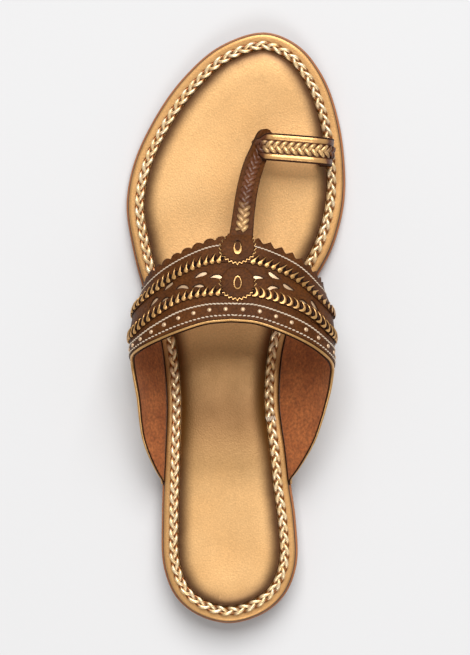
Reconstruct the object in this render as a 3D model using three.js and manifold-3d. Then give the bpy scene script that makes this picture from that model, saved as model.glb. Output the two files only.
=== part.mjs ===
// A left Kolhapuri sandal with a toe ring: a wide instep band with swept wings, a toe strap and a
// ring for the big toe, over a padded footbed that is edged with a plaited trim.
//
// Millimetres. +Y points from the heel to the toes, +X to the big toe's side (medial), +Z up.
// The origin is on the floor, under the middle of the sole's length and width.
import * as THREE from "three";
import { mergeVertices } from "three/addons/utils/BufferGeometryUtils.js";
import Module from "manifold-3d";

const wasm = await Module();
wasm.setup();

// ---------------------------------------------------------------- driving sizes
const SOLE_LENGTH = 249.6;
const GAP = 0.3; // clearance between pieces that touch

const OUTSOLE_THICKNESS = 4.6;
const HEEL_HEIGHT = 8;
const HEEL_BREAST_Y = -62;
const HEEL_TAPER = 1.2; // how much smaller the heel's foot is, all round
const ARCH_START_Y = -58; // the sole leaves the heel seat here
const BALL_START_Y = -5; // and is flat on the floor from here
const TOE_SPRING_START_Y = 58; // up to here
const TOE_SPRING = 4;

const BOARD_THICKNESS = 3;
const TRIM_WIDTH = 3.9;
const TRIM_HEIGHT = 2.2;
const PAD_HEIGHT = 4.4;

const WALL = 2.4; // base leather and lining of the instep band
const SKIVED_WALL = 1.4; // pared down where it is turned in under the board
const SKIVED_FROM = 0.8; // share of the half girth, from the top, where the paring starts
const FLANGE = 8.5; // turned in between the board and the outsole
const WIDEST_AT = 0.56; // share of the half girth, from the top, where the band is widest
const SQUARENESS = 2.2; // exponent of the band's arch: 2 is an ellipse

const RING_BAND = 10.8; // the toe ring's width along the foot
const RING_THICKNESS = 2.2;
const RING_CENTRE = { x: 25.4, y: 74.4 };
const RING_TURN = -0.08; // radians that the ring is turned, seen from above

const STRAP_THICKNESS = 2.6;
const SAMPLES_PER_SECTION = 4;

// ---------------------------------------------------------------- tables
const HEEL_TIP = { x: -2.6, y: -SOLE_LENGTH / 2 };
const TOE_TIP = { x: 12.5, y: SOLE_LENGTH / 2 };
// The sole's edges at each section, from the heel to the toes, how far inside them the insole
// board's edge stands, and the width of the board's plain rim beside the plaited trim.
const SOLE_SECTIONS = [
  { y: -121, lateral: -16.4, medial: 11.4, board: 0.9, rim: 2.7 },
  { y: -113, lateral: -25.4, medial: 20.9, board: 0.9, rim: 2.6 },
  { y: -100, lateral: -30.3, medial: 26.1, board: 0.9, rim: 2.5 },
  { y: -80, lateral: -30.9, medial: 25.6, board: 0.9, rim: 2.5 },
  { y: -66, lateral: -30.6, medial: 23.7, board: 1.0, rim: 2.4 },
  { y: -52, lateral: -30.9, medial: 23.1, board: 1.9, rim: 2.1 },
  { y: -30, lateral: -30.7, medial: 20.6, board: 2.0, rim: 2.0 },
  { y: -8, lateral: -32.9, medial: 22.3, board: 2.0, rim: 2.0 },
  { y: 8, lateral: -36.7, medial: 27.8, board: 1.8, rim: 2.2 },
  { y: 20, lateral: -40.3, medial: 34.0, board: 1.1, rim: 2.6 },
  { y: 34, lateral: -43.8, medial: 41.3, board: 0.9, rim: 2.9 },
  { y: 52, lateral: -46.3, medial: 46.0, board: 0.9, rim: 2.9 },
  { y: 70, lateral: -43.1, medial: 46.3, board: 0.9, rim: 2.9 },
  { y: 90, lateral: -33.6, medial: 43.2, board: 0.9, rim: 3.0 },
  { y: 106, lateral: -21.9, medial: 37.3, board: 0.9, rim: 3.1 },
  { y: 119, lateral: -6.6, medial: 27.0, board: 0.9, rim: 3.0 },
];
// The instep band's own sections: its widest points on each side, the height at which they lie
// and the height of its crown, all measured on its inside.
const BAND_SECTIONS = [
  { y: -66, lateral: -41.6, medial: 38.4, widest: 38.5, crown: 68 },
  { y: -47, lateral: -42.0, medial: 41.2, widest: 38, crown: 67 },
  { y: -30, lateral: -40.2, medial: 40.8, widest: 37.5, crown: 66 },
  { y: -15, lateral: -40.9, medial: 40.2, widest: 36, crown: 64 },
  { y: -3, lateral: -40.5, medial: 39.7, widest: 33.5, crown: 60.5 },
  { y: 6, lateral: -39.1, medial: 38.7, widest: 31.5, crown: 57 },
  { y: 17, lateral: -35.4, medial: 35.4, widest: 28, crown: 52 },
  { y: 38, lateral: -36.2, medial: 36.2, widest: 24, crown: 43 },
];
// Where the band is cut, round its half girth: 0 is the crown and 1 the foot of its wall.
const BAND_EDGES = [
  { around: 0, lateralFront: 36.6, medialFront: 36.6, lateralBack: 2.8, medialBack: 2.8 },
  { around: 0.08, lateralFront: 35.2, medialFront: 35.6, lateralBack: 1.8, medialBack: 1.9 },
  { around: 0.18, lateralFront: 31.4, medialFront: 32.1, lateralBack: -1.5, medialBack: -1.6 },
  { around: 0.29, lateralFront: 27, medialFront: 27.9, lateralBack: -5.4, medialBack: -6 },
  { around: 0.42, lateralFront: 22.1, medialFront: 22.3, lateralBack: -9.4, medialBack: -11.3 },
  { around: 0.52, lateralFront: 18.3, medialFront: 18.3, lateralBack: -12, medialBack: -14.8 },
  { around: 0.6, lateralFront: 16.9, medialFront: 16.9, lateralBack: -16.5, medialBack: -19.3 },
  { around: 0.665, lateralFront: 16.6, medialFront: 16.6, lateralBack: -26, medialBack: -27.4 },
  { around: 0.73, lateralFront: 16.5, medialFront: 16.5, lateralBack: -37, medialBack: -37.2 },
  { around: 0.8, lateralFront: 16.5, medialFront: 16.5, lateralBack: -48.6, medialBack: -48.4 },
  { around: 0.88, lateralFront: 16.7, medialFront: 16.7, lateralBack: -58.3, medialBack: -58.2 },
  { around: 0.94, lateralFront: 16.9, medialFront: 16.9, lateralBack: -63.4, medialBack: -63.2 },
  { around: 1, lateralFront: 17, medialFront: 17, lateralBack: -65.6, medialBack: -65.6 },
];
// The toe strap's middle line, from under the instep band's front to the toe ring's shoulder.
const STRAP_ROUTE = [
  { x: 2.0, y: 28, z: 50.4, width: 9.6 },
  { x: 2.4, y: 36, z: 47.2, width: 9.4 },
  { x: 3.4, y: 46, z: 42.6, width: 9.0 },
  { x: 5.4, y: 58, z: 36.8, width: 8.7 },
  { x: 8.6, y: 68, z: 32.4, width: 8.5 },
  { x: 12.0, y: 76, z: 29.6, width: 8.3 },
  { x: 13.8, y: 81.2, z: 29.0, width: 8.0 },
];
// The toe ring's middle line, from its lateral leg over the big toe to its medial leg: how far
// across it is from the ring's centre, and its height above the footbed.
const RING_ARCH = [
  { across: -12.6, height: 1 },
  { across: -14.2, height: 4 },
  { across: -14.8, height: 9.5 },
  { across: -13.4, height: 14.8 },
  { across: -9.4, height: 17.8 },
  { across: -3.6, height: 18.8 },
  { across: 3.6, height: 18.8 },
  { across: 9.4, height: 17.8 },
  { across: 13.6, height: 14.6 },
  { across: 15.0, height: 9.4 },
  { across: 14.0, height: 4.2 },
  { across: 10.3, height: 1 },
];

// ---------------------------------------------------------------- working tools

/** A smooth value of one column of a table, at a value of its first column. */
function columnAt(table, key, value, at) {
  const last = table.length - 1;
  let i = 0;
  while (i < last - 1 && at > table[i + 1][key]) i++;
  const slope = (a, b) => (table[b][value] - table[a][value]) / (table[b][key] - table[a][key]);
  const [before, after] = [Math.max(0, i - 1), Math.min(last, i + 2)];
  const span = table[i + 1][key] - table[i][key];
  const t = THREE.MathUtils.clamp((at - table[i][key]) / span, 0, 1);
  const start = span * slope(before, i + 1);
  const end = span * slope(i, after);
  return (
    (2 * t ** 3 - 3 * t ** 2 + 1) * table[i][value] +
    (t ** 3 - 2 * t ** 2 + t) * start +
    (3 * t ** 2 - 2 * t ** 3) * table[i + 1][value] +
    (t ** 3 - t ** 2) * end
  );
}

/**
 * A closed solid from loops of points that all have one length; each loop joins to the next.
 * ends says how the first and last loops are closed: "tip" where a loop starts at a point that
 * both its sides share, as a sole's outline does, "edge" where its two sides run side by side
 * from the start, as a wall's do, and "joined" where the last loop joins to the first.
 */
function skin(loops, ends) {
  const perLoop = loops[0].length;
  const positions = loops.flat().flatMap((p) => [p.x, p.y, p.z]);
  const index = [];
  const joins = ends === "joined" ? loops.length : loops.length - 1;
  for (let l = 0; l < joins; l++) {
    const [here, next] = [l * perLoop, ((l + 1) % loops.length) * perLoop];
    for (let i = 0; i < perLoop; i++) {
      const j = (i + 1) % perLoop;
      index.push(here + i, here + j, next + j, here + i, next + j, next + i);
    }
  }
  if (ends !== "joined") {
    const lag = ends === "tip" ? 0 : 1;
    index.push(...rungs(perLoop, lag).flatMap(([a, b, c]) => [a, c, b]));
    const last = (loops.length - 1) * perLoop;
    index.push(...rungs(perLoop, lag).flatMap((face) => face.map((v) => v + last)));
  }
  const geometry = new THREE.BufferGeometry();
  geometry.setAttribute("position", new THREE.Float32BufferAttribute(positions, 3));
  geometry.setIndex(index);
  return geometry;
}

/** Faces that close a loop like a ladder, with rungs between its points i and count - lag - i. */
function rungs(count, lag) {
  const faces = [];
  for (let right = 0; right + 1 <= count - lag - right - 1; right++) {
    const left = (count - lag - right) % count;
    const [nextRight, nextLeft] = [right + 1, count - lag - right - 1];
    if (nextRight !== nextLeft) faces.push([right, nextRight, nextLeft]);
    if (left !== right) faces.push([right, nextLeft, left]);
  }
  return faces;
}

/** A manifold-3d solid of a closed geometry, turned right side out. */
function solidOf(geometry) {
  const bare = new THREE.BufferGeometry();
  bare.setAttribute("position", geometry.getAttribute("position"));
  if (geometry.index) bare.setIndex(geometry.index);
  const merged = mergeVertices(bare, 1e-4);
  const triVerts = new Uint32Array(merged.index.array);
  const vertProperties = new Float32Array(merged.attributes.position.array);
  const solid = new wasm.Manifold(new wasm.Mesh({ numProp: 3, vertProperties, triVerts }));
  if (solid.volume() > 0) return solid;
  for (let i = 0; i < triVerts.length; i += 3) {
    [triVerts[i + 1], triVerts[i + 2]] = [triVerts[i + 2], triVerts[i + 1]];
  }
  return new wasm.Manifold(new wasm.Mesh({ numProp: 3, vertProperties, triVerts }));
}

/** A named mesh of a manifold-3d solid. */
function piece(name, solid, { color, roughness, metalness }) {
  const { numProp, vertProperties, triVerts } = solid.getMesh();
  const geometry = new THREE.BufferGeometry();
  const positions = new Float32Array((vertProperties.length / numProp) * 3);
  for (let v = 0; v * 3 < positions.length; v++) {
    positions.set(vertProperties.subarray(v * numProp, v * numProp + 3), v * 3);
  }
  geometry.setAttribute("position", new THREE.BufferAttribute(positions, 3));
  geometry.setIndex(new THREE.BufferAttribute(new Uint32Array(triVerts), 1));
  geometry.computeVertexNormals();
  const mesh = new THREE.Mesh(geometry, new THREE.MeshStandardMaterial({ color, roughness, metalness }));
  mesh.name = name;
  return mesh;
}

/** A solid box between two corners. */
function boxBetween(low, high) {
  const size = high.clone().sub(low);
  const box = new THREE.BoxGeometry(size.x, size.y, size.z);
  box.translate(...low.clone().add(high).multiplyScalar(0.5).toArray());
  return solidOf(box);
}

// ---------------------------------------------------------------- the sole's forms

/** Height of the outsole's underside above the floor. */
function underside(y) {
  if (y > TOE_SPRING_START_Y) {
    const share = (y - TOE_SPRING_START_Y) / (SOLE_LENGTH / 2 - TOE_SPRING_START_Y);
    return TOE_SPRING * share ** 2;
  }
  return HEEL_HEIGHT * (1 - THREE.MathUtils.smoothstep(y, ARCH_START_Y, BALL_START_Y));
}

/** The sole's closed outline: heel tip, medial side, toe tip, lateral side. */
function soleOutline() {
  const point = (x, y) => new THREE.Vector3(x, y, 0);
  const medial = SOLE_SECTIONS.map((row) => point(row.medial, row.y));
  const lateral = SOLE_SECTIONS.map((row) => point(row.lateral, row.y)).reverse();
  const around = [point(HEEL_TIP.x, HEEL_TIP.y), ...medial, point(TOE_TIP.x, TOE_TIP.y), ...lateral];
  const curve = new THREE.CatmullRomCurve3(around, true, "centripetal");
  const count = around.length * SAMPLES_PER_SECTION;
  return Array.from({ length: count }, (_, i) => curve.getPoint(i / count));
}

const OUTLINE = soleOutline();

/** The outline moved inwards, at a level above the outsole's underside. */
function ring(inset, level, measuredFrom = () => 0) {
  return OUTLINE.map((p, i) => {
    const before = OUTLINE[(i + OUTLINE.length - 1) % OUTLINE.length];
    const after = OUTLINE[(i + 1) % OUTLINE.length];
    const along = after.clone().sub(before).normalize();
    const move = inset + measuredFrom(p.y);
    const [x, y] = [p.x - along.y * move, p.y + along.x * move];
    return new THREE.Vector3(x, y, underside(y) + level);
  });
}

/** How far the insole board's edge stands inside the outline at a section. */
function boardInset(y) {
  return columnAt(SOLE_SECTIONS, "y", "board", y);
}

/** How far the plaited trim's outer edge stands inside the outline at a section. */
function trimInset(y) {
  return boardInset(y) + columnAt(SOLE_SECTIONS, "y", "rim", y);
}

/** The x of the insole board's edge at a section; side is -1 lateral, 1 medial. */
function boardEdge(y, side) {
  const half = OUTLINE.length / 2;
  const edge = ring(0, 0, boardInset);
  const points = side > 0 ? edge.slice(0, half + 1) : [...edge.slice(half), edge[0]].reverse();
  let i = 0;
  while (i < points.length - 2 && points[i + 1].y < y) i++;
  const share = (y - points[i].y) / (points[i + 1].y - points[i].y);
  return THREE.MathUtils.lerp(points[i].x, points[i + 1].x, share);
}

const BOARD_LEVEL = OUTSOLE_THICKNESS + GAP;
const BOARD_TOP = BOARD_LEVEL + BOARD_THICKNESS;
const PAD_LEVEL = BOARD_TOP + GAP;
const FLANGE_TOP = OUTSOLE_THICKNESS;
const FOOTBED = PAD_LEVEL + PAD_HEIGHT;
const RING_LEG_END = BOARD_LEVEL + 0.8; // the ring's legs stop inside the board

/** The outsole, with a pocket for each of the band's turned-in flanges. */
function outsole() {
  const whole = solidOf(skin([ring(0.6, 0), ring(0, 0.7), ring(0, OUTSOLE_THICKNESS)], "tip"));
  return whole.subtract(flangePocket(-1)).subtract(flangePocket(1));
}

/** The stacked heel under the outsole's heel seat. */
function heel() {
  const flat = (inset, z) => ring(inset, 0).map((p) => new THREE.Vector3(p.x, p.y, z));
  const slab = solidOf(skin([flat(HEEL_TAPER, 0), flat(0.2, HEEL_HEIGHT - GAP)], "tip"));
  const behindBreast = boxBetween(
    new THREE.Vector3(-SOLE_LENGTH, -SOLE_LENGTH, -1),
    new THREE.Vector3(SOLE_LENGTH, HEEL_BREAST_Y, HEEL_HEIGHT + 1),
  );
  return slab.intersect(behindBreast);
}

/** The leather-covered insole board, with a pocket for each leg of the toe ring. */
function insoleBoard() {
  const layers = [
    ring(0, BOARD_LEVEL, boardInset),
    ring(0, BOARD_TOP - 0.9, boardInset),
    ring(0.9, BOARD_TOP, boardInset),
  ];
  return solidOf(skin(layers, "tip")).subtract(ringLegs());
}

/** The padded footbed: its edge rolls down to the trim all round. */
function footbed() {
  const roll = [
    { inset: 0.6, rise: 0 },
    { inset: 0, rise: 0.22 },
    { inset: 0.5, rise: 0.52 },
    { inset: 1.9, rise: 0.78 },
    { inset: 4.4, rise: 0.92 },
    { inset: 8.5, rise: 1 },
  ];
  const layers = roll.map(({ inset, rise }) =>
    ring(TRIM_WIDTH + GAP + inset, PAD_LEVEL + PAD_HEIGHT * rise, trimInset),
  );
  return solidOf(skin(layers, "tip")).subtract(ringLegs());
}

/** The plaited trim that runs round the footbed, as one closed cord of flat section. */
function plaitedTrim() {
  const section = [
    { across: 0.04, rise: 0 },
    { across: 0, rise: 0.45 },
    { across: 0.2, rise: 0.92 },
    { across: 0.5, rise: 1 },
    { across: 0.8, rise: 0.92 },
    { across: 1, rise: 0.45 },
    { across: 0.96, rise: 0 },
  ];
  const rings = section.map(({ across, rise }) =>
    ring(TRIM_WIDTH * across, PAD_LEVEL + TRIM_HEIGHT * rise, trimInset),
  );
  return solidOf(skin(rings, "joined"));
}

// ---------------------------------------------------------------- the upper

/** A point on the band's inside: around runs from -1, the lateral foot, over 0 to 1, the medial. */
function bandPoint(around, y) {
  const side = around < 0 ? -1 : 1;
  const share = Math.abs(around);
  const widest = columnAt(BAND_SECTIONS, "y", side < 0 ? "lateral" : "medial", y);
  const widestZ = columnAt(BAND_SECTIONS, "y", "widest", y);
  if (share < WIDEST_AT) {
    const crown = columnAt(BAND_SECTIONS, "y", "crown", y);
    const angle = (Math.PI / 2) * (share / WIDEST_AT);
    const x = widest * Math.sin(angle) ** (2 / SQUARENESS);
    return new THREE.Vector3(x, y, widestZ + (crown - widestZ) * Math.cos(angle) ** (2 / SQUARENESS));
  }
  const rise = (1 - share) / (1 - WIDEST_AT);
  const foot = boardEdge(y, side) + side * GAP;
  const footZ = underside(y) + FLANGE_TOP;
  const z = footZ + (widestZ - footZ) * rise;
  const clearOfBoard = footZ + GAP + BOARD_THICKNESS;
  const lean = THREE.MathUtils.clamp((z - clearOfBoard) / (widestZ - clearOfBoard), 0, 1);
  return new THREE.Vector3(foot + (widest - foot) * Math.sin((Math.PI / 2) * lean), y, z);
}

/** Where the band is cut at a place round its girth; end is "Front" or "Back". */
function bandEdge(around, end) {
  const side = around < 0 ? "lateral" : "medial";
  return columnAt(BAND_EDGES, "around", side + end, Math.abs(around));
}

/** The wall's thickness at a place round its half girth: pared towards its foot. */
function wallAt(share) {
  return THREE.MathUtils.mapLinear(Math.max(share, SKIVED_FROM), SKIVED_FROM, 1, WALL, SKIVED_WALL);
}

/** The instep band: a wall through its sections, with a flange turned in under the board. */
function instepBand() {
  const perSide = 22;
  const columns = 22;
  const rows = [];
  for (let r = -perSide; r <= perSide; r++) rows.push(r / perSide);
  const inside = rows.map((around) => {
    const [front, back] = [bandEdge(around, "Front"), bandEdge(around, "Back")];
    return Array.from({ length: columns + 1 }, (_, c) =>
      bandPoint(around, THREE.MathUtils.lerp(front, back, c / columns)),
    );
  });
  const turnIn = (row, side) =>
    row.map((p) => new THREE.Vector3(p.x - side * FLANGE, p.y, underside(p.y) + FLANGE_TOP));
  const grid = [turnIn(inside[0], -1), ...inside, turnIn(inside[inside.length - 1], 1)];
  const shares = [1, ...rows.map(Math.abs), 1];
  const outside = grid.map((row, r) =>
    row.map((p, c) => p.clone().addScaledVector(wallNormal(grid, r, c), wallAt(shares[r]))),
  );
  // One loop per column: along the inside from foot to foot, and back along the outside.
  const loops = Array.from({ length: columns + 1 }, (_, c) => [
    ...grid.map((row) => row[c]),
    ...outside.map((row) => row[c]).reverse(),
  ]);
  return solidOf(skin(loops, "edge"));
}

/** The outward direction of a grid of points, lengthened where the grid turns sharply. */
function wallNormal(grid, r, c) {
  const row = (i) => grid[THREE.MathUtils.clamp(i, 0, grid.length - 1)];
  const columnsLast = grid[0].length - 1;
  const along = grid[r][Math.min(c + 1, columnsLast)].clone().sub(grid[r][Math.max(c - 1, 0)]);
  const faceNormal = (a, b) => row(b)[c].clone().sub(row(a)[c]).cross(along).negate().normalize();
  const parts = [];
  if (r > 0) parts.push(faceNormal(r - 1, r));
  if (r < grid.length - 1) parts.push(faceNormal(r, r + 1));
  const mean = parts.reduce((sum, n) => sum.add(n), new THREE.Vector3()).normalize();
  return mean.multiplyScalar(1 / Math.max(mean.dot(parts[0]), 0.5));
}

/** The pocket that a flange lies in, cut into the outsole's top along one side. */
function flangePocket(side) {
  const steps = 24;
  const [front, back] = [bandEdge(side, "Front"), bandEdge(side, "Back")];
  const floor = FLANGE_TOP - SKIVED_WALL - GAP;
  const loops = [];
  for (let i = 0; i <= steps; i++) {
    const y = THREE.MathUtils.lerp(back - GAP, front + GAP, i / steps);
    const edge = boardEdge(y, side);
    const [inner, outer] = [edge - side * (FLANGE + GAP), edge + side * 2 * WALL];
    const [low, high] = [underside(y) + floor, underside(y) + OUTSOLE_THICKNESS + 1];
    loops.push([
      new THREE.Vector3(inner, y, low),
      new THREE.Vector3(outer, y, low),
      new THREE.Vector3(outer, y, high),
      new THREE.Vector3(inner, y, high),
    ]);
  }
  return solidOf(skin(loops, "edge"));
}

/** A flat strap along a route: each stop has a middle, a direction across and a width. */
function strapSolid(stops, thickness) {
  const loops = stops.map(({ middle, across, up, width }) => {
    const corner = (side, level) =>
      middle.clone().addScaledVector(across, (side * width) / 2).addScaledVector(up, level * thickness);
    const under = [corner(-1, -0.5), corner(1, -0.5)];
    return [...under, corner(1, 0.35), corner(0.7, 0.5), corner(-0.7, 0.5), corner(-1, 0.35)];
  });
  return solidOf(skin(loops, "edge"));
}

/** The toe strap, from under the band's front edge to the ring's shoulder. */
function toeStrap() {
  const steps = 20;
  const curve = new THREE.CatmullRomCurve3(STRAP_ROUTE.map(({ x, y, z }) => new THREE.Vector3(x, y, z)));
  const stops = Array.from({ length: steps + 1 }, (_, i) => {
    const middle = curve.getPoint(i / steps);
    const along = curve.getTangent(i / steps);
    const across = new THREE.Vector3(along.y, -along.x, 0).normalize();
    const up = across.clone().cross(along).normalize();
    return { middle, across, up, width: columnAt(STRAP_ROUTE, "y", "width", middle.y) };
  });
  return strapSolid(stops, STRAP_THICKNESS);
}

/** A point of the toe ring's middle line. */
function ringPoint(across, z) {
  const [x, y] = [Math.cos(RING_TURN) * across, Math.sin(RING_TURN) * across];
  return new THREE.Vector3(RING_CENTRE.x + x, RING_CENTRE.y + y, underside(RING_CENTRE.y) + z);
}

/** The direction of the foot's length at the toe ring. */
function ringAcross() {
  return new THREE.Vector3(-Math.sin(RING_TURN), Math.cos(RING_TURN), 0);
}

/** The toe ring: a band over the big toe, with a leg into the board on each side. */
function toeRing() {
  const steps = 30;
  const arch = RING_ARCH.map(({ across, height }) => ringPoint(across, FOOTBED + height));
  const curve = new THREE.CatmullRomCurve3(arch, false, "centripetal");
  const legFoot = ({ across }) => ringPoint(across, RING_LEG_END);
  const middles = [
    legFoot(RING_ARCH[0]),
    ...curve.getSpacedPoints(steps),
    legFoot(RING_ARCH[RING_ARCH.length - 1]),
  ];
  const stops = middles.map((middle, i) => {
    const before = middles[Math.max(0, i - 1)];
    const after = middles[Math.min(middles.length - 1, i + 1)];
    const along = after.clone().sub(before).normalize();
    const up = ringAcross().cross(along).normalize();
    return { middle, across: ringAcross().negate(), up, width: RING_BAND };
  });
  return strapSolid(stops, RING_THICKNESS);
}

/** Room for one leg of the ring, through the footbed and into the board. */
function ringLegRoom({ across }) {
  const out = new THREE.Vector3(Math.cos(RING_TURN), Math.sin(RING_TURN), 0);
  const level = (z) =>
    [[-1, -1], [1, -1], [1, 1], [-1, 1]].map(([a, b]) =>
      ringPoint(across, z)
        .addScaledVector(out, a * (RING_THICKNESS / 2 + GAP))
        .addScaledVector(ringAcross(), b * (RING_BAND / 2 + GAP)),
    );
  return solidOf(skin([level(RING_LEG_END - GAP), level(FOOTBED + PAD_HEIGHT)], "edge"));
}

/** Room for both legs of the ring. */
function ringLegs() {
  return ringLegRoom(RING_ARCH[0]).add(ringLegRoom(RING_ARCH[RING_ARCH.length - 1]));
}

/** The whole upper: band, toe strap and ring joined where they cross. */
function upper() {
  return instepBand().add(toeStrap()).add(toeRing());
}

// ---------------------------------------------------------------- the sandal
const FINISHES = {
  sole: { color: 0x8a5231, roughness: 0.6, metalness: 0 },
  heel: { color: 0x74432a, roughness: 0.65, metalness: 0 },
  gold: { color: 0xd9ab66, roughness: 0.42, metalness: 0.5 },
  foil: { color: 0xf0d9a0, roughness: 0.22, metalness: 0.9 },
  brown: { color: 0x6b4430, roughness: 0.5, metalness: 0.1 },
};

const sandal = new THREE.Group();
sandal.add(
  piece("outsole", outsole(), FINISHES.sole),
  piece("heel", heel(), FINISHES.heel),
  piece("insole_board", insoleBoard(), FINISHES.gold),
  piece("footbed", footbed(), FINISHES.gold),
  piece("plaited_trim", plaitedTrim(), FINISHES.foil),
  piece("upper", upper(), FINISHES.brown),
);

export default sandal;
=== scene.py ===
"""A left Kolhapuri sandal with a toe ring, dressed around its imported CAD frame.

Forms are worked out in millimetres, on the same tables as the CAD, and turned to metres when a
mesh is made. +Y points from the heel to the toes, +X to the big toe's side (medial), +Z up.
Leather pieces are cut as flat patterns, as on a bench, and then wrapped round the instep.
"""

import logging
import math
from dataclasses import dataclass, field
from enum import Enum
from functools import cached_property
from typing import Any, Callable, Iterable, Sequence

import bmesh
import bpy
import numpy as np
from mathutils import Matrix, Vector
from mathutils.geometry import delaunay_2d_cdt

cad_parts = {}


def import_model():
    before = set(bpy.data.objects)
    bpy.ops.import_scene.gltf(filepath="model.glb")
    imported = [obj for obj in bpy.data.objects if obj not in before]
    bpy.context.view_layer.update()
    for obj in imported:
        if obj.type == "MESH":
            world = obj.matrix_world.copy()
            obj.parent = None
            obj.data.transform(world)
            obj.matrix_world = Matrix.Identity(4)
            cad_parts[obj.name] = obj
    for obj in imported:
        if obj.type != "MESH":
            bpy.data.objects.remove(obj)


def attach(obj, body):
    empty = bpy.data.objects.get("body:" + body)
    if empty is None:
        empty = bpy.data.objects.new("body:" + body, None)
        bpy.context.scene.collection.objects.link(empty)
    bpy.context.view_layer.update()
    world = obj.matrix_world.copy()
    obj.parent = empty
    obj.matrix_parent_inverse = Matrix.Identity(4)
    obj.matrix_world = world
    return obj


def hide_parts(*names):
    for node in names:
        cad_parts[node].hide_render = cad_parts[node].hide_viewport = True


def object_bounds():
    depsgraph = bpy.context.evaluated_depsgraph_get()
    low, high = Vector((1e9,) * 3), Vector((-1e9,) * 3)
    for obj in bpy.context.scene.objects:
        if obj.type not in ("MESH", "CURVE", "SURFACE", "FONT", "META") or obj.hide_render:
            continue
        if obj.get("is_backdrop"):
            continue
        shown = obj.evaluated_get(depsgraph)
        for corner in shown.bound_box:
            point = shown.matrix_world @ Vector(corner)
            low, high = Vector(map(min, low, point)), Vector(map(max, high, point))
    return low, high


Array = np.ndarray
Piece = bpy.types.Object
Tree = bpy.types.NodeTree
LOG = logging.getLogger("sandal")
MM = 0.001


class Side(Enum):
    """The two sides of a left foot, by the sign of their x."""

    LATERAL = -1
    MEDIAL = 1

    @property
    def column(self) -> str:
        """The word that this side's columns start with in a table."""
        return self.name.lower()


class Slot(Enum):
    """The record's material slots."""

    OUTSOLE = "outsole_leather"
    HEEL = "heel_leather"
    GOLD = "gold_leather"
    FOIL = "foil_leather"
    UPPER = "upper_leather"


# ---------------------------------------------------------------- finishes


def linear(colour: str) -> tuple[float, float, float, float]:
    """An sRGB colour as Blender's linear values.

    Args:
        colour: the colour in hexadecimal, such as "#d9a45c".

    Returns:
        Linear red, green, blue and an alpha of 1.
    """
    parts = [int(colour[i : i + 2], 16) / 255 for i in (1, 3, 5)]
    low = [c / 12.92 if c <= 0.04045 else ((c + 0.055) / 1.055) ** 2.4 for c in parts]
    return (low[0], low[1], low[2], 1.0)


def add(tree: Tree, kind: str, inputs: Any = (), result: Any = 0, **settings: Any) -> Any:
    """Adds a node with its settings, values and links.

    Args:
        tree: the tree that gets the node.
        kind: the node's type name.
        inputs: a socket to link or a value to set for each input, in order or by name. A colour
            is given in hexadecimal.
        result: which of its outputs to return, or None for the node.
        settings: the node's own properties.

    Returns:
        The output's socket, or the node itself.
    """
    node = tree.nodes.new(kind)
    for name, value in settings.items():
        setattr(node, name, value)
    for key, value in (inputs if isinstance(inputs, dict) else dict(enumerate(inputs))).items():
        if isinstance(value, bpy.types.NodeSocket):
            tree.links.new(value, node.inputs[key])
        else:
            coloured = isinstance(value, str) and value.startswith("#")
            node.inputs[key].default_value = linear(value) if coloured else value
    return node if result is None else node.outputs[result]


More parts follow.
